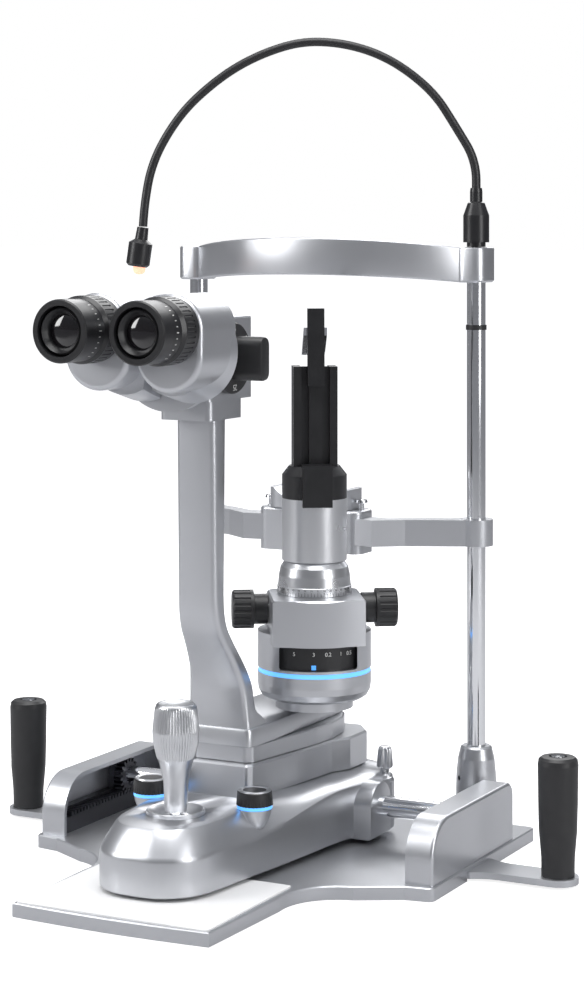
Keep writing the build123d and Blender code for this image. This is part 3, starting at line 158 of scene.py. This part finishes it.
def silver_paint(name, colour, metallic, roughness):
    """Satin silver paint: metallic, with a fine grain and slow drift in gloss and tone."""
    material, tree, shader = node_material(name)
    place = object_place(tree)
    shader.inputs["Metallic"].default_value = metallic
    shader.inputs["Coat Weight"].default_value = 0.15
    shader.inputs["Coat Roughness"].default_value = 0.25
    varied(tree, shader, roughness - 0.04, roughness + 0.05, 30.0, place)
    shaded = [channel * 0.96 for channel in colour]
    toned(tree, shader.inputs["Base Color"], place, 9.0, 4.0, shaded, colour, (0.3, 0.7))
    grained(tree, shader, place, 2600.0, 2.0, 0.12, 0.00008)
    return material


def black_finish(name, colour, roughness, grain_scale, grain):
    """Black moulded plastic or satin black paint with a fine grain."""
    material, tree, shader = node_material(name)
    place = object_place(tree)
    varied(tree, shader, roughness - 0.06, roughness + 0.08, 60.0, place)
    lighter = [channel * 1.6 + 0.002 for channel in colour]
    toned(tree, shader.inputs["Base Color"], place, 120.0, 4.0, colour, lighter)
    grained(tree, shader, place, grain_scale, 3.0, grain, 0.0001)
    return material


def polished_metal(name, colour, roughness):
    """Polished or brushed metal with faint streaks along its height."""
    material, tree, shader = node_material(name)
    stretch = add_node(tree, "ShaderNodeMapping", Scale=(1, 1, 40))
    tree.links.new(object_place(tree), stretch.inputs["Vector"])
    shader.inputs["Metallic"].default_value = 1.0
    shader.inputs["Base Color"].default_value = (*colour, 1)
    noise = varied(tree, shader, roughness, roughness + 0.09, 60.0, stretch.outputs["Vector"])
    bumped(tree, shader, noise.outputs["Fac"], 0.05, 0.0001)
    return material


def smooth_plastic(name, colour, roughness):
    """Smooth moulded plastic with a slow drift in gloss and tone."""
    material, tree, shader = node_material(name)
    place = object_place(tree)
    varied(tree, shader, roughness, roughness + 0.1, 40.0, place)
    shaded = [channel * 0.97 for channel in colour]
    toned(tree, shader.inputs["Base Color"], place, 14.0, 3.0, shaded, colour)
    return material


def lit_plastic(name, colour, strength):
    """Light guide: a tinted diffuser that glows a little unevenly; on the printed blue mark this
    glow is painted light.
    """
    material, tree, shader = node_material(name)
    dim = [channel * 0.8 for channel in colour]
    bright = [min(1, channel * 1.15) for channel in colour]
    toned(tree, shader.inputs["Emission Color"], object_place(tree), 25.0, 2.0, dim, bright)
    shader.inputs["Base Color"].default_value = (*colour, 1)
    shader.inputs["Roughness"].default_value = 0.3
    shader.inputs["Emission Strength"].default_value = strength
    return material


silver = silver_paint("silver_paint", (0.56, 0.57, 0.595), 0.86, 0.33)
silver_light = silver_paint("silver_light", (0.66, 0.67, 0.69), 0.9, 0.28)
turned = polished_metal("turned_silver", (0.66, 0.67, 0.69), 0.27)
chrome = polished_metal("polished_steel", (0.82, 0.83, 0.85), 0.07)
black = black_finish("black_plastic", (0.012, 0.012, 0.013), 0.38, 900.0, 0.15)
satin_black = black_finish("black_metal", (0.008, 0.008, 0.009), 0.32, 1800.0, 0.1)
sleeve = black_finish("gooseneck_sleeve", (0.010, 0.010, 0.011), 0.4, 1200.0, 0.2)
grip_black = black_finish("grip_plastic", (0.013, 0.013, 0.014), 0.42, 700.0, 0.3)
lens_glass = black_finish("lens_glass", (0.004, 0.003, 0.004), 0.06, 40.0, 0.0)
lens_glass.node_tree.nodes["Principled BSDF"].inputs["Coat Weight"].default_value = 1.0
white_sheet = smooth_plastic("white_sheet", (0.86, 0.86, 0.86), 0.35)
white_plastic = smooth_plastic("white_plastic", (0.84, 0.84, 0.84), 0.28)
label_white = smooth_plastic("label_white", (0.82, 0.82, 0.80), 0.4)
label_dark = smooth_plastic("label_dark", (0.04, 0.04, 0.045), 0.4)
dark_steel = polished_metal("dark_steel", (0.10, 0.10, 0.11), 0.3)
mirror_glass = polished_metal("mirror_glass", (0.92, 0.93, 0.95), 0.01)
blue_light = lit_plastic("light_guide", (0.12, 0.42, 1.0), 1.1)
# The blue mark on the filter dial is print, not a lamp: its glow is painted light
painted_glow_blue = lit_plastic("painted_glow_blue", (0.08, 0.35, 0.95), 0.7)
warm_light = lit_plastic("warm_light", (1.0, 0.42, 0.28), 1.3)

slot_materials = {
    "silver_casting": silver,
    "polished_steel": chrome,
    "turned_silver": turned,
    "black_plastic": black,
    "black_metal": satin_black,
    "gooseneck_sleeve": sleeve,
    "white_sheet": white_sheet,
    "white_plastic": white_plastic,
    "dark_steel": dark_steel,
    "light_guide": blue_light,
    "mirror_glass": mirror_glass,
}
node_materials = {
    "grips": grip_black,
    "lamp_cylinder": silver_light,
    "slit_ring": silver_light,
    "chin_cup": silver,
}
for part in frame["record"]["subparts"]:
    cad_mesh = nodes[part["node"]].data
    cad_mesh.materials.clear()
    cad_mesh.materials.append(
        node_materials.get(part["node"], slot_materials[part["material_slot"]])
    )


# Meshes

def finish_piece(name, mesh, place, material, body):
    """Put a mesh in the scene at its frame, with its material, body and slot."""
    piece = bpy.data.objects.new(name, mesh)
    piece.matrix_world = place
    scene.collection.objects.link(piece)
    mesh.materials.append(material)
    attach(piece, body)
    return piece


def smoothed(mesh, work, sharp):
    """Fill a mesh from a bmesh and shade it smooth but for edges over an angle."""
    bmesh.ops.recalc_face_normals(work, faces=work.faces)
    work.to_mesh(mesh)
    work.free()
    mesh.shade_smooth()
    mesh.set_sharp_from_angle(angle=radians(sharp))
    return mesh


def circle_ring(x, y, radius, height, steps):
    """Points of a level circle."""
    angles = [2 * pi * step / steps for step in range(steps)]
    return [(x + radius * cos(angle), y + radius * sin(angle), height) for angle in angles]


def lathe(name, place, profile, material, body, steps=96):
    """Turned piece: a profile of (radius, height) in millimetres, turned about the frame's z."""
    work = bmesh.new()
    rings = []
    for radius, height in profile:
        if radius < 1e-6:
            rings.append([work.verts.new((0, 0, height / 1000))])
            continue
        ring = circle_ring(0, 0, radius, height, steps)
        rings.append([work.verts.new(Vector(point) / 1000) for point in ring])
    for low, high in zip(rings, rings[1:]):
        for step in range(steps):
            after = (step + 1) % steps
            corners = [
                low[step % len(low)],
                low[after % len(low)],
                high[after % len(high)],
                high[step % len(high)],
            ]
            unique = list(dict.fromkeys(corners))
            if len(unique) > 2:
                work.faces.new(unique)
    mesh = smoothed(bpy.data.meshes.new(name), work, sharp=32)
    return finish_piece(name, mesh, place, material, body)


def rounded_ring(low_a, high_a, low_b, high_b, radius, corner_steps=6):
    """Rounded rectangle as (a, b) points, anticlockwise from its first corner."""
    points = []
    corners = (
        (high_a - radius, high_b - radius, 0),
        (low_a + radius, high_b - radius, 1),
        (low_a + radius, low_b + radius, 2),
        (high_a - radius, low_b + radius, 3),
    )
    for a, b, quarter in corners:
        for step in range(corner_steps + 1):
            angle = (quarter + step / corner_steps) * pi / 2
            points.append((a + radius * cos(angle), b + radius * sin(angle)))
    return points


def soft_outline(right_half, rounds=3):
    """Closed outline from its right half, its corners cut again and again into soft curves."""
    points = right_half + [(-x, y) for x, y in reversed(right_half) if x > 0]
    for _ in range(rounds):
        cut = []
        for (ax, ay), (bx, by) in zip(points, points[1:] + points[:1]):
            cut.append((0.75 * ax + 0.25 * bx, 0.75 * ay + 0.25 * by))
            cut.append((0.25 * ax + 0.75 * bx, 0.25 * ay + 0.75 * by))
        points = cut
    return points


def eased(rows, position):
    """Row of values at a position among evenly spaced rows, on a smooth curve through them."""
    last = len(rows) - 1
    index = min(int(position), last - 1)
    part = position - index
    near = [rows[max(0, min(last, index + shift))] for shift in (-1, 0, 1, 2)]
    result = []
    for a, b, c, d in zip(*near):
        bend = (2 * a - 5 * b + 4 * c - d) * part ** 2
        twist = (3 * b - a - 3 * c + d) * part ** 3
        result.append(0.5 * (2 * b + (c - a) * part + bend + twist))
    return result


def skinned_mesh(name, groups, sharp=34):
    """Mesh of closed skins, each over rings of points in millimetres, with both ends capped."""
    work = bmesh.new()
    for rings in groups:
        loops = [[work.verts.new(Vector(point) / 1000) for point in ring] for ring in rings]
        for low, high in zip(loops, loops[1:]):
            for step in range(len(low)):
                after = (step + 1) % len(low)
                work.faces.new((low[step], low[after], high[after], high[step]))
        work.faces.new(loops[0])
        work.faces.new(loops[-1])
    return smoothed(bpy.data.meshes.new(name), work, sharp)


def fluted_mesh(name, profile, flutes, steps):
    """Turned mesh with flutes: each row is a radius, a height and the depth of the flutes there."""
    rings = []
    for radius, height, depth in profile:
        ring = []
        for step in range(steps):
            angle = 2 * pi * step / steps
            reach = radius - depth * (0.5 - 0.5 * cos(flutes * angle))
            ring.append((reach * cos(angle), reach * sin(angle), height))
        rings.append(ring)
    return skinned_mesh(name, [rings], sharp=50)


def text_mesh(words, size, thickness):
    """Letters as a mesh in the frame's x-y plane, centred, in metres."""
    curve = bpy.data.curves.new("letters", "FONT")
    curve.body = words
    curve.size = size
    curve.extrude = thickness
    curve.align_x = "CENTER"
    curve.align_y = "CENTER"
    holder = bpy.data.objects.new("letters", curve)
    scene.collection.objects.link(holder)
    bpy.context.view_layer.update()
    mesh = bpy.data.meshes.new_from_object(holder)
    bpy.data.objects.remove(holder)
    bpy.data.curves.remove(curve)
    return mesh


def around(point, radius, angle):
    """Wrap a flat point (x across, y up, z out) on a cylinder, facing the examiner at angle 0."""
    turn = angle + point.x / radius
    out = radius + point.z
    return Vector((out * sin(turn), -out * cos(turn), point.y))


def wrapped_label(words, size, radius, angle, height):
    """Letters laid on a cylinder about the frame's z."""
    letter_thickness = 0.00004
    mesh = text_mesh(words, size, letter_thickness)
    for vertex in mesh.vertices:
        point = Vector((vertex.co.x, vertex.co.y + height, vertex.co.z))
        vertex.co = around(point, radius, angle)
    return mesh


def wrapped_bar(width, low, high, radius, angle):
    """A short raised line on a cylinder about the frame's z."""
    thickness = 0.00008
    work = bmesh.new()
    bmesh.ops.create_cube(work, size=1)
    for vertex in work.verts:
        height = (low + high) / 2 + vertex.co.z * (high - low)
        point = Vector((vertex.co.x * width, height, vertex.co.y * thickness))
        vertex.co = around(point, radius, angle)
    mesh = bpy.data.meshes.new("bar")
    work.to_mesh(mesh)
    work.free()
    return mesh


def join_meshes(name, meshes):
    """One mesh from several, which are then removed."""
    work = bmesh.new()
    for mesh in meshes:
        work.from_mesh(mesh)
        bpy.data.meshes.remove(mesh)
    joined = bpy.data.meshes.new(name)
    work.to_mesh(joined)
    work.free()
    return joined


# Lamp

def add_filter_dial_marks():
    """Numbers on the filter dial, seen through the window, and the blue mark below them."""
    window_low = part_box("filter_dial")[0].z
    dial_radius = 0.0401
    letter_size = 0.0042
    letter_height = window_low + 0.0125
    numbers = (("5", -28), ("3", -6), ("0.2", 10), ("1", 25), ("0.5", 36))
    labels = [
        wrapped_label(words, letter_size, dial_radius, radians(angle), letter_height)
        for words, angle in numbers
    ]
    finish_piece(
        "filter_dial_numbers", join_meshes("filter_dial_numbers", labels), tower, label_white,
        "filter",
    )
    mark_width = 0.0035
    mark_low = window_low + 0.001
    mark_high = window_low + 0.0045
    mark_angle = radians(-6)
    blue_mark = wrapped_bar(mark_width, mark_low, mark_high, dial_radius, mark_angle)
    # Painted glow on the printed blue mark, which is no lamp
    finish_piece("filter_dial_mark", blue_mark, tower, painted_glow_blue, "filter")


def add_slit_ring_scale():
    """Scale of degrees round the slit ring: a line each 5 degrees, a number each 10."""
    ring_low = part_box("slit_ring")[0].z
    ring_radius = 0.02882
    line_width = 0.00028
    line_low = ring_low + 0.0004
    letter_size = 0.0021
    letter_height = ring_low + 0.0049
    marks = []
    for number in range(72):
        line_high = ring_low + (0.0036 if number % 2 == 0 else 0.0026)
        marks.append(wrapped_bar(line_width, line_low, line_high, ring_radius, radians(5 * number)))
    for number in range(36):
        words = str(abs((number * 10 + 90) % 180 - 90))
        angle = radians(10 * number)
        marks.append(wrapped_label(words, letter_size, ring_radius, angle, letter_height))
    finish_piece(
        "slit_ring_scale", join_meshes("slit_ring_scale", marks), tower, label_dark,
        "slit_angle",
    )


# Microscope

def add_magnification_numbers():
    """Numbers round the face of the magnification dial."""
    face_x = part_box("magnification_dial")[1].x - carriage_x
    face = scope @ Matrix.Translation((face_x, dial_centre_y, optical_z))
    face = face @ Matrix.Rotation(pi / 2, 4, "Z") @ Matrix.Rotation(pi / 2, 4, "X")
    letter_size = 0.0062
    letter_thickness = 0.00005
    outward = Matrix.Translation((0, 0.0215, 0))
    numbers = (("6", 90), ("10", 38), ("16", -38), ("25", -90), ("40", -142), ("16", 142))
    labels = []
    for words, angle in numbers:
        mesh = text_mesh(words, letter_size, letter_thickness)
        mesh.transform(Matrix.Rotation(radians(angle - 90), 4, "Z") @ outward)
        labels.append(mesh)
    finish_piece(
        "magnification_numbers", join_meshes("magnification_numbers", labels), face,
        label_white, "magnifier",
    )


def add_eyepiece(side, way):
    """Glass and retaining dish of an eyepiece, and the ticks of its diopter scale."""
    ring_low_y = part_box(f"{side}_diopter_ring")[0].y
    tube_front_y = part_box(f"{side}_eyepiece_tube")[0].y
    axis = scope @ Matrix.Translation((way * eye_x, ring_low_y - swing_y, eye_z))
    axis = axis @ Matrix.Rotation(pi / 2, 4, "X")
    depth = (tube_front_y - ring_low_y) * 1000
    dish_profile = [
        (17.2, -depth - 0.3), (16.8, -3.0), (15.5, -1.6), (13.2, -4.2), (12.2, -5.6), (12.0, -7.6),
    ]
    lathe(f"{side}_lens_dish", axis, dish_profile, satin_black, f"diopter_{side}")
    lens_profile = [(12.3, -8.4), (12.0, -7.7), (9, -6.6), (5, -6.0), (0, -5.8)]
    lathe(f"{side}_eye_lens", axis, lens_profile, lens_glass, f"tube_{side}")
    tick_width = 0.0005
    tick_high = -0.0178
    tick_radius = 0.02215
    tick_spacing = 11
    ticks = []
    for number in range(-5, 6):
        tick_low = tick_high - (0.0032 if number % 5 == 0 else 0.002)
        angle = radians(number * tick_spacing)
        ticks.append(wrapped_bar(tick_width, tick_low, tick_high, tick_radius, angle))
    finish_piece(
        f"{side}_diopter_ticks", join_meshes(f"{side}_diopter_ticks", ticks),
        axis @ Matrix.Rotation(pi / 2, 4, "Z"), label_white, f"diopter_{side}",
    )


def add_microscope_arm():
    """Foot of the arm on its platform, and the column that rises from it in one sweep."""
    # Each station is a height, the front and the back of the column there, and half its width
    stations = [
        (104, -147.4, -108, 28.2),
        (112, -147, -113.5, 27.2),
        (118, -146.7, -121.5, 26.4),
        (123.5, -146.6, -129, 25.8),
        (131.9, -146.8, -130.8, 24.8),
        (141.8, -147.9, -131.2, 23.6),
        (151, -151, -134.5, 22.3),
        (160, -155.6, -139.5, 21),
        (170, -161.6, -146.3, 19.6),
        (180, -168.4, -153.4, 18.3),
        (190, -174.6, -159.6, 17.4),
        (202, -178.2, -162.6, 16.8),
        (216, -179.2, -163, 16.5),
    ]
    edge_radius = 4.5
    steps_between = 5
    top_half_width = 16.5
    top_front = -181
    top_back = -161
    column_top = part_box("head_block")[0].z * 1000
    column = []
    for count in range((len(stations) - 1) * steps_between + 1):
        height, front, back, half = eased(stations, count / steps_between)
        ring = rounded_ring(-half, half, front, back, edge_radius)
        column.append([(x, y, height) for x, y in ring])
    top_ring = rounded_ring(-top_half_width, top_half_width, top_front, top_back, edge_radius)
    column.append([(x, y, column_top) for x, y in top_ring])
    foot_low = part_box("microscope_arm")[0].z * 1000
    foot_high = 112.4
    foot_half_width = 31
    foot_half_length = 90
    foot_middle_y = -58
    outline = soft_outline([
        (0, -148.4), (20, -148.4), (29.6, -147.8), (30.2, -128), (31, -90), (31.4, -52),
        (31, -12), (29, 14), (17, 28), (0, 31.5),
    ])
    levels = (
        (foot_low, 0.4), (foot_low + 0.5, 0), (foot_high - 2.2, 0), (foot_high - 0.6, 0.7),
        (foot_high, 2.2),
    )
    foot = []
    for height, inset in levels:
        across = 1 - inset / foot_half_width
        along = 1 - inset / foot_half_length
        foot.append([
            (x * across, (y - foot_middle_y) * along + foot_middle_y, height) for x, y in outline
        ])
    arm_piece = finish_piece(
        "microscope_arm_skin", skinned_mesh("microscope_arm_skin", [foot, column]), scope,
        silver, "microscope",
    )
    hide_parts("microscope_arm")


def add_magnification_knob():
    """Upright bar with soft corners on the magnification dial."""
    low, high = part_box("dial_knob")
    inner = (low.x - carriage_x) * 1000
    outer = (high.x - carriage_x) * 1000
    half_width = 7.2
    half_height = 16.2
    corner = 6.4
    rings = []
    for reach, inset in ((inner, 0), (outer - 2.4, 0), (outer - 0.7, 0.7), (outer, 2.4)):
        wide = half_width - inset
        tall = half_height - inset
        ring = rounded_ring(-wide, wide, -tall, tall, corner - inset)
        rings.append([
            (reach, dial_centre_y * 1000 + y, optical_z * 1000 + z) for y, z in ring
        ])
    bar_piece = finish_piece(
        "magnification_knob_bar", skinned_mesh("magnification_knob_bar", [rings]), scope,
        black, "magnifier",
    )
    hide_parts("dial_knob")


# Instrument base

def add_joystick_dish():
    """Turned dish round the joystick's well."""
    profile = [
        (21.7, 60.02), (21.7, 62.6), (21.0, 63.1), (19.4, 62.8), (15.6, 60.0), (11.8, 57.6),
        (11.4, 56.4),
    ]
    lathe("joystick_dish", joystick_frame, profile, turned, "carriage")


def add_knob_crown(side, way):
    """Raised ring on top of a brightness knob."""
    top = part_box(f"{side}_brightness_knob")[1].z * 1000
    place = carriage @ Matrix.Translation((way * knob_x / 1000, knob_y / 1000, 0))
    profile = [(12.2, top - 0.4), (11.6, top + 0.5), (9.6, top + 0.5), (8.6, top - 0.1)]
    lathe(f"{side}_knob_crown", place, profile, turned, f"knob_{side}")


def shell_rings(low):
    """Rings of the base's shell: a crease all round, which climbs towards the axle."""
    outline = soft_outline([
        (0, -163), (19, -162), (35, -151.5), (43.5, -136), (47, -114), (49, -92), (54.4, -58),
        (61, -1), (64.5, 36), (69, 58), (77, 80), (83.6, 93), (82.5, 105.5), (74, 107.5),
        (64.5, 112), (60.2, 122), (59.6, 137), (50, 140.4), (0, 140.4),
    ])
    # Each level is a height, its inset, and its share of the crease's climb
    levels = (
        (low, 1.2, 0), (low + 1, 0.2, 0), (low + 3, 0, 0), (38.5, 0, 1), (41, 0.5, 1),
        (42.6, 1.6, 1), (47, 4.2, 0.8), (53, 8.6, 0.45), (57.6, 12, 0.12), (59.4, 14, 0),
        (deck_z, 17, 0),
    )
    half_width = 66
    half_length = 151
    middle_y = -12
    climb_start = -85
    climb_length = 135
    crease_rise = 13
    rear_slope = 1.1
    rings = []
    for height, inset, share in levels:
        ring = []
        for x, y in outline:
            climb = max(0, min(1, (y - climb_start) / climb_length))
            lift = share * crease_rise * climb * climb * (3 - 2 * climb)
            lift = min(lift, max(0, deck_z - 0.2 - height))
            across = 1 - inset * (1 + rear_slope * climb) / half_width
            along = 1 - inset / half_length
            ring.append((x * across, (y - middle_y) * along + middle_y, height + lift))
        rings.append(ring)
    return rings


def end_plate_rings(way, low):
    """Rings of the arched end plate that stands round the axle on one side."""
    radius = 19
    inner_x = 58
    outer_x = 84
    arch_steps = 24
    arch = []
    for step in range(arch_steps + 1):
        angle = pi * step / arch_steps
        arch.append((axle_y + radius * cos(angle), axle_z + radius * sin(angle)))
    arch += [(axle_y - radius, low), (axle_y + radius, low)]
    rings = []
    for reach, inset in ((inner_x, 0), (outer_x - 2, 0), (outer_x - 0.6, 0.6), (outer_x, 2)):
        share = 1 - inset / radius
        rings.append([
            (way * reach, axle_y + (y - axle_y) * share, axle_z + (z - axle_z) * share)
            for y, z in arch
        ])
    return rings


def pod_rings(way):
    """Rings of the pod under one brightness knob."""
    profile = ((3.0, 42), (6.5, 45.5), (10.2, 51), (12.2, 56.4), (12.9, 60.2))
    return [circle_ring(way * knob_x, knob_y, radius, height, 48) for radius, height in profile]


def cut_well(shell):
    """Cut the joystick's well into the shell, exactly, and keep the cut mesh."""
    radius = 18.9
    bottom = 30
    over_deck = 90
    rings = [circle_ring(0, joystick_y, radius, height, 64) for height in (bottom, over_deck)]
    well_mesh = skinned_mesh("well", [rings])
    well = bpy.data.objects.new("well", well_mesh)
    well.matrix_world = carriage
    scene.collection.objects.link(well)
    cut = shell.modifiers.new("cut", "BOOLEAN")
    cut.object = well
    cut.operation = "DIFFERENCE"
    cut.solver = "EXACT"
    bpy.context.view_layer.update()
    finished = shell.evaluated_get(bpy.context.evaluated_depsgraph_get())
    cut_mesh = bpy.data.meshes.new_from_object(finished)
    shell.modifiers.clear()
    uncut_mesh = shell.data
    shell.data = cut_mesh
    bpy.data.objects.remove(well)
    bpy.data.meshes.remove(well_mesh)
    bpy.data.meshes.remove(uncut_mesh)


def add_base_shell():
    """Soft shell of the base with a well for the joystick, its end plates and its pods."""
    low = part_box("base_body")[0].z * 1000
    shell_mesh = skinned_mesh("base_shell", [shell_rings(low)], sharp=26)
    base_piece = finish_piece(
        "base_shell", shell_mesh, carriage, silver, "carriage"
    )
    cut_well(base_piece)
    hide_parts("base_body")
    fittings = [end_plate_rings(way, low) for way in (1, -1)] + [pod_rings(way) for way in (1, -1)]
    finish_piece(
        "base_end_plates", skinned_mesh("base_end_plates", fittings), carriage, silver,
        "carriage",
    )


def add_joystick_grip():
    """Grip of the joystick: a smooth cone below, two knurled tapers and a dished top."""
    grip_low, grip_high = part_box("joystick_grip")
    low = grip_low.z * 1000
    top = grip_high.z * 1000
    profile = [
        (3, low - 6.5, 0), (8.2, low - 6.5, 0), (8.6, low, 0), (9.4, 84, 0), (11.0, 92, 0),
        (13.2, 99.6, 0), (13.8, 100.4, 0.1), (14.4, 101.4, 0.75), (16.6, 111, 0.8),
        (17.25, 118.5, 0.8), (17.3, 119.8, 0.3), (17.25, 121.4, 0.8), (16.4, 130, 0.8),
        (15.6, top - 4, 0.6), (15.0, top - 2.4, 0), (14.2, top - 0.8, 0), (13, top, 0),
        (11.4, top - 0.4, 0), (3, top - 1.4, 0),
    ]
    grip_piece = finish_piece(
        "joystick_knurled_grip", fluted_mesh("joystick_knurled_grip", profile, flutes=48, steps=288),
        joystick_frame, turned, "stick_grip",
    )
    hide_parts("joystick_grip")


def add_axle_lock():
    """Lock of the axle: a fluted, tapered head on a short neck and collar."""
    low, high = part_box("axle_lock")
    foot = 52.0
    top = high.z * 1000
    profile = [
        (2.9, low.z * 1000, 0), (2.9, foot, 0), (6.2, foot + 0.3, 0), (6.4, foot + 3, 0),
        (5.6, foot + 4.2, 0), (3.6, foot + 5.4, 0), (3.8, foot + 8, 0), (6.2, foot + 9.4, 0.2),
        (6.9, foot + 10.6, 1.1), (6.2, top - 7, 1.1), (5.7, top - 3, 1.0), (5.0, top - 1.2, 0.3),
        (3.6, top - 0.2, 0), (1.0, top, 0),
    ]
    place = Matrix.Translation(((low.x + high.x) / 2, (low.y + high.y) / 2, 0))
    lock_piece = finish_piece(
        "axle_lock_head", fluted_mesh("axle_lock_head", profile, flutes=8, steps=96), place,
        turned, "lock",
    )
    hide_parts("axle_lock")


# Head rest

def add_fixation_light():
    """Glow at the end of the fixation lamp."""
    low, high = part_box("fixation_lamp")
    place = Matrix.Translation(((low.x + high.x) / 2, (low.y + high.y) / 2, low.z))
    profile = [(0, -5.6), (2.6, -5.2), (4.4, -3.8), (5.0, -1.8), (5.0, 1.6), (0, 1.6)]
    lathe("fixation_light", place, profile, warm_light, "fixation")


def add_head_band():
    """Bowed ribbon that rises to its middle, between two rounded blocks on the posts."""
    low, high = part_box("head_band")
    bottom = low.z * 1000
    middle_rise = 8.0
    bottom_share = 0.75
    end_top = high.z * 1000 - middle_rise
    thickness = 6.0
    edge_radius = 1.8
    front_y = 88.6
    end_y = 136.0
    end_x = 121.0
    sagitta = end_y - front_y
    bow_radius = (end_x ** 2 + sagitta ** 2) / (2 * sagitta)
    sweep = atan2(end_x, bow_radius - sagitta)
    half_steps = 30
    ribbon = []
    for step in range(2 * half_steps + 1):
        angle = sweep * (step / half_steps - 1)
        rise = middle_rise * (1 - (angle / sweep) ** 2)
        section = rounded_ring(
            0, thickness, bottom + bottom_share * rise, end_top + rise, edge_radius, corner_steps=4
        )
        ring = []
        for depth, height in section:
            reach = bow_radius - depth
            ring.append((reach * sin(angle), front_y + bow_radius - reach * cos(angle), height))
        ribbon.append(ring)
    block_half_width = 12.4
    block_front = 133
    block_back = 165
    block_corner = 9
    block_levels = (
        (bottom, 1.6), (bottom + 1.6, 0), (end_top - 1.6, 0), (end_top - 0.4, 0.5), (end_top, 1.6),
    )
    groups = [ribbon]
    for way in (1, -1):
        block = []
        for height, inset in block_levels:
            half = block_half_width - inset
            ring = rounded_ring(
                way * post_x - half, way * post_x + half, block_front + inset,
                block_back - inset, block_corner - inset,
            )
            block.append([(x, y, height) for x, y in ring])
        groups.append(block)
    band_piece = finish_piece(
        "head_band_ribbon", skinned_mesh("head_band_ribbon", groups), Matrix.Identity(4), silver,
        "frame",
    )
    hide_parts("head_band")


add_filter_dial_marks()
add_slit_ring_scale()
add_magnification_numbers()
for side, way in sides:
    add_eyepiece(side, way)
add_joystick_dish()
for side, way in sides:
    add_knob_crown(side, way)
add_fixation_light()
add_microscope_arm()
add_magnification_knob()
add_base_shell()
add_joystick_grip()
add_head_band()
add_axle_lock()


# Floor, surround and lamps

def choose_for_camera(tree, others, seen, output_kind):
    """Show one shader to the camera and another to every other ray."""
    rays = add_node(tree, "ShaderNodeLightPath")
    choose = add_node(tree, "ShaderNodeMixShader")
    output = add_node(tree, output_kind)
    tree.links.new(rays.outputs["Is Camera Ray"], choose.inputs["Fac"])
    tree.links.new(others.outputs[0], choose.inputs[1])
    tree.links.new(seen.outputs[0], choose.inputs[2])
    tree.links.new(choose.outputs[0], output.inputs["Surface"])


def add_floor():
    """Wide floor that is white to the camera but keeps the object's shadow."""
    floor_size = 80
    floor_z = -0.0005
    bpy.ops.mesh.primitive_plane_add(size=floor_size, location=(0, 0, floor_z))
    floor = bpy.context.object
    floor.name = "floor"
    material = bpy.data.materials.new("floor")
    material.use_nodes = True
    tree = material.node_tree
    tree.nodes.clear()
    matt = add_node(tree, "ShaderNodeBsdfDiffuse", Color=(0.55, 0.55, 0.56, 1))
    glow = add_node(tree, "ShaderNodeEmission", Color=(1, 1, 1, 1), Strength=0.86)
    both = add_node(tree, "ShaderNodeAddShader")
    plain = add_node(tree, "ShaderNodeBsdfDiffuse", Color=(0.5, 0.5, 0.51, 1))
    tree.links.new(matt.outputs[0], both.inputs[0])
    tree.links.new(glow.outputs[0], both.inputs[1])
    choose_for_camera(tree, plain, both, "ShaderNodeOutputMaterial")
    floor.data.materials.append(material)


def add_surround():
    """World that is white to the camera, and pale above and darker below to the metal."""
    world = bpy.data.worlds.new("world")
    scene.world = world
    world.use_nodes = True
    tree = world.node_tree
    tree.nodes.clear()
    direction = add_node(tree, "ShaderNodeTexCoord")
    split = add_node(tree, "ShaderNodeSeparateXYZ")
    ramp = add_node(tree, "ShaderNodeValToRGB")
    ramp.color_ramp.elements[0].position = 0.0
    ramp.color_ramp.elements[0].color = (0.18, 0.18, 0.19, 1)
    ramp.color_ramp.elements[1].position = 1.0
    ramp.color_ramp.elements[1].color = (0.95, 0.96, 1.0, 1)
    low_edge = ramp.color_ramp.elements.new(0.35)
    low_edge.color = (0.22, 0.23, 0.25, 1)
    surround = add_node(tree, "ShaderNodeBackground", Strength=0.75)
    white = add_node(tree, "ShaderNodeBackground", Color=(1, 1, 1, 1), Strength=1.0)
    tree.links.new(direction.outputs["Generated"], split.inputs[0])
    tree.links.new(split.outputs["Z"], ramp.inputs["Fac"])
    tree.links.new(ramp.outputs["Color"], surround.inputs["Color"])
    choose_for_camera(tree, surround, white, "ShaderNodeOutputWorld")


def softbox(name, place, aim, width, height, power):
    """A rectangular lamp that faces a point."""
    data = bpy.data.lights.new(name, "AREA")
    data.shape = "RECTANGLE"
    data.size = width
    data.size_y = height
    data.energy = power
    lamp_object = bpy.data.objects.new(name, data)
    lamp_object.location = place
    facing = Vector(aim) - Vector(place)
    lamp_object.rotation_euler = facing.to_track_quat("-Z", "Y").to_euler()
    scene.collection.objects.link(lamp_object)


add_floor()
add_surround()
softbox("lamp_left", (-1.3, -1.2, 1.2), (0, 0, 0.3), 0.7, 1.4, 24)
softbox("lamp_right", (1.8, -0.5, 0.9), (0, 0, 0.3), 0.7, 1.4, 16)
softbox("lamp_top", (0.1, -0.3, 2.0), (0, 0, 0.2), 1.4, 1.2, 26)
softbox("lamp_back", (-0.4, 1.6, 1.3), (0, 0, 0.3), 1.4, 0.8, 14)
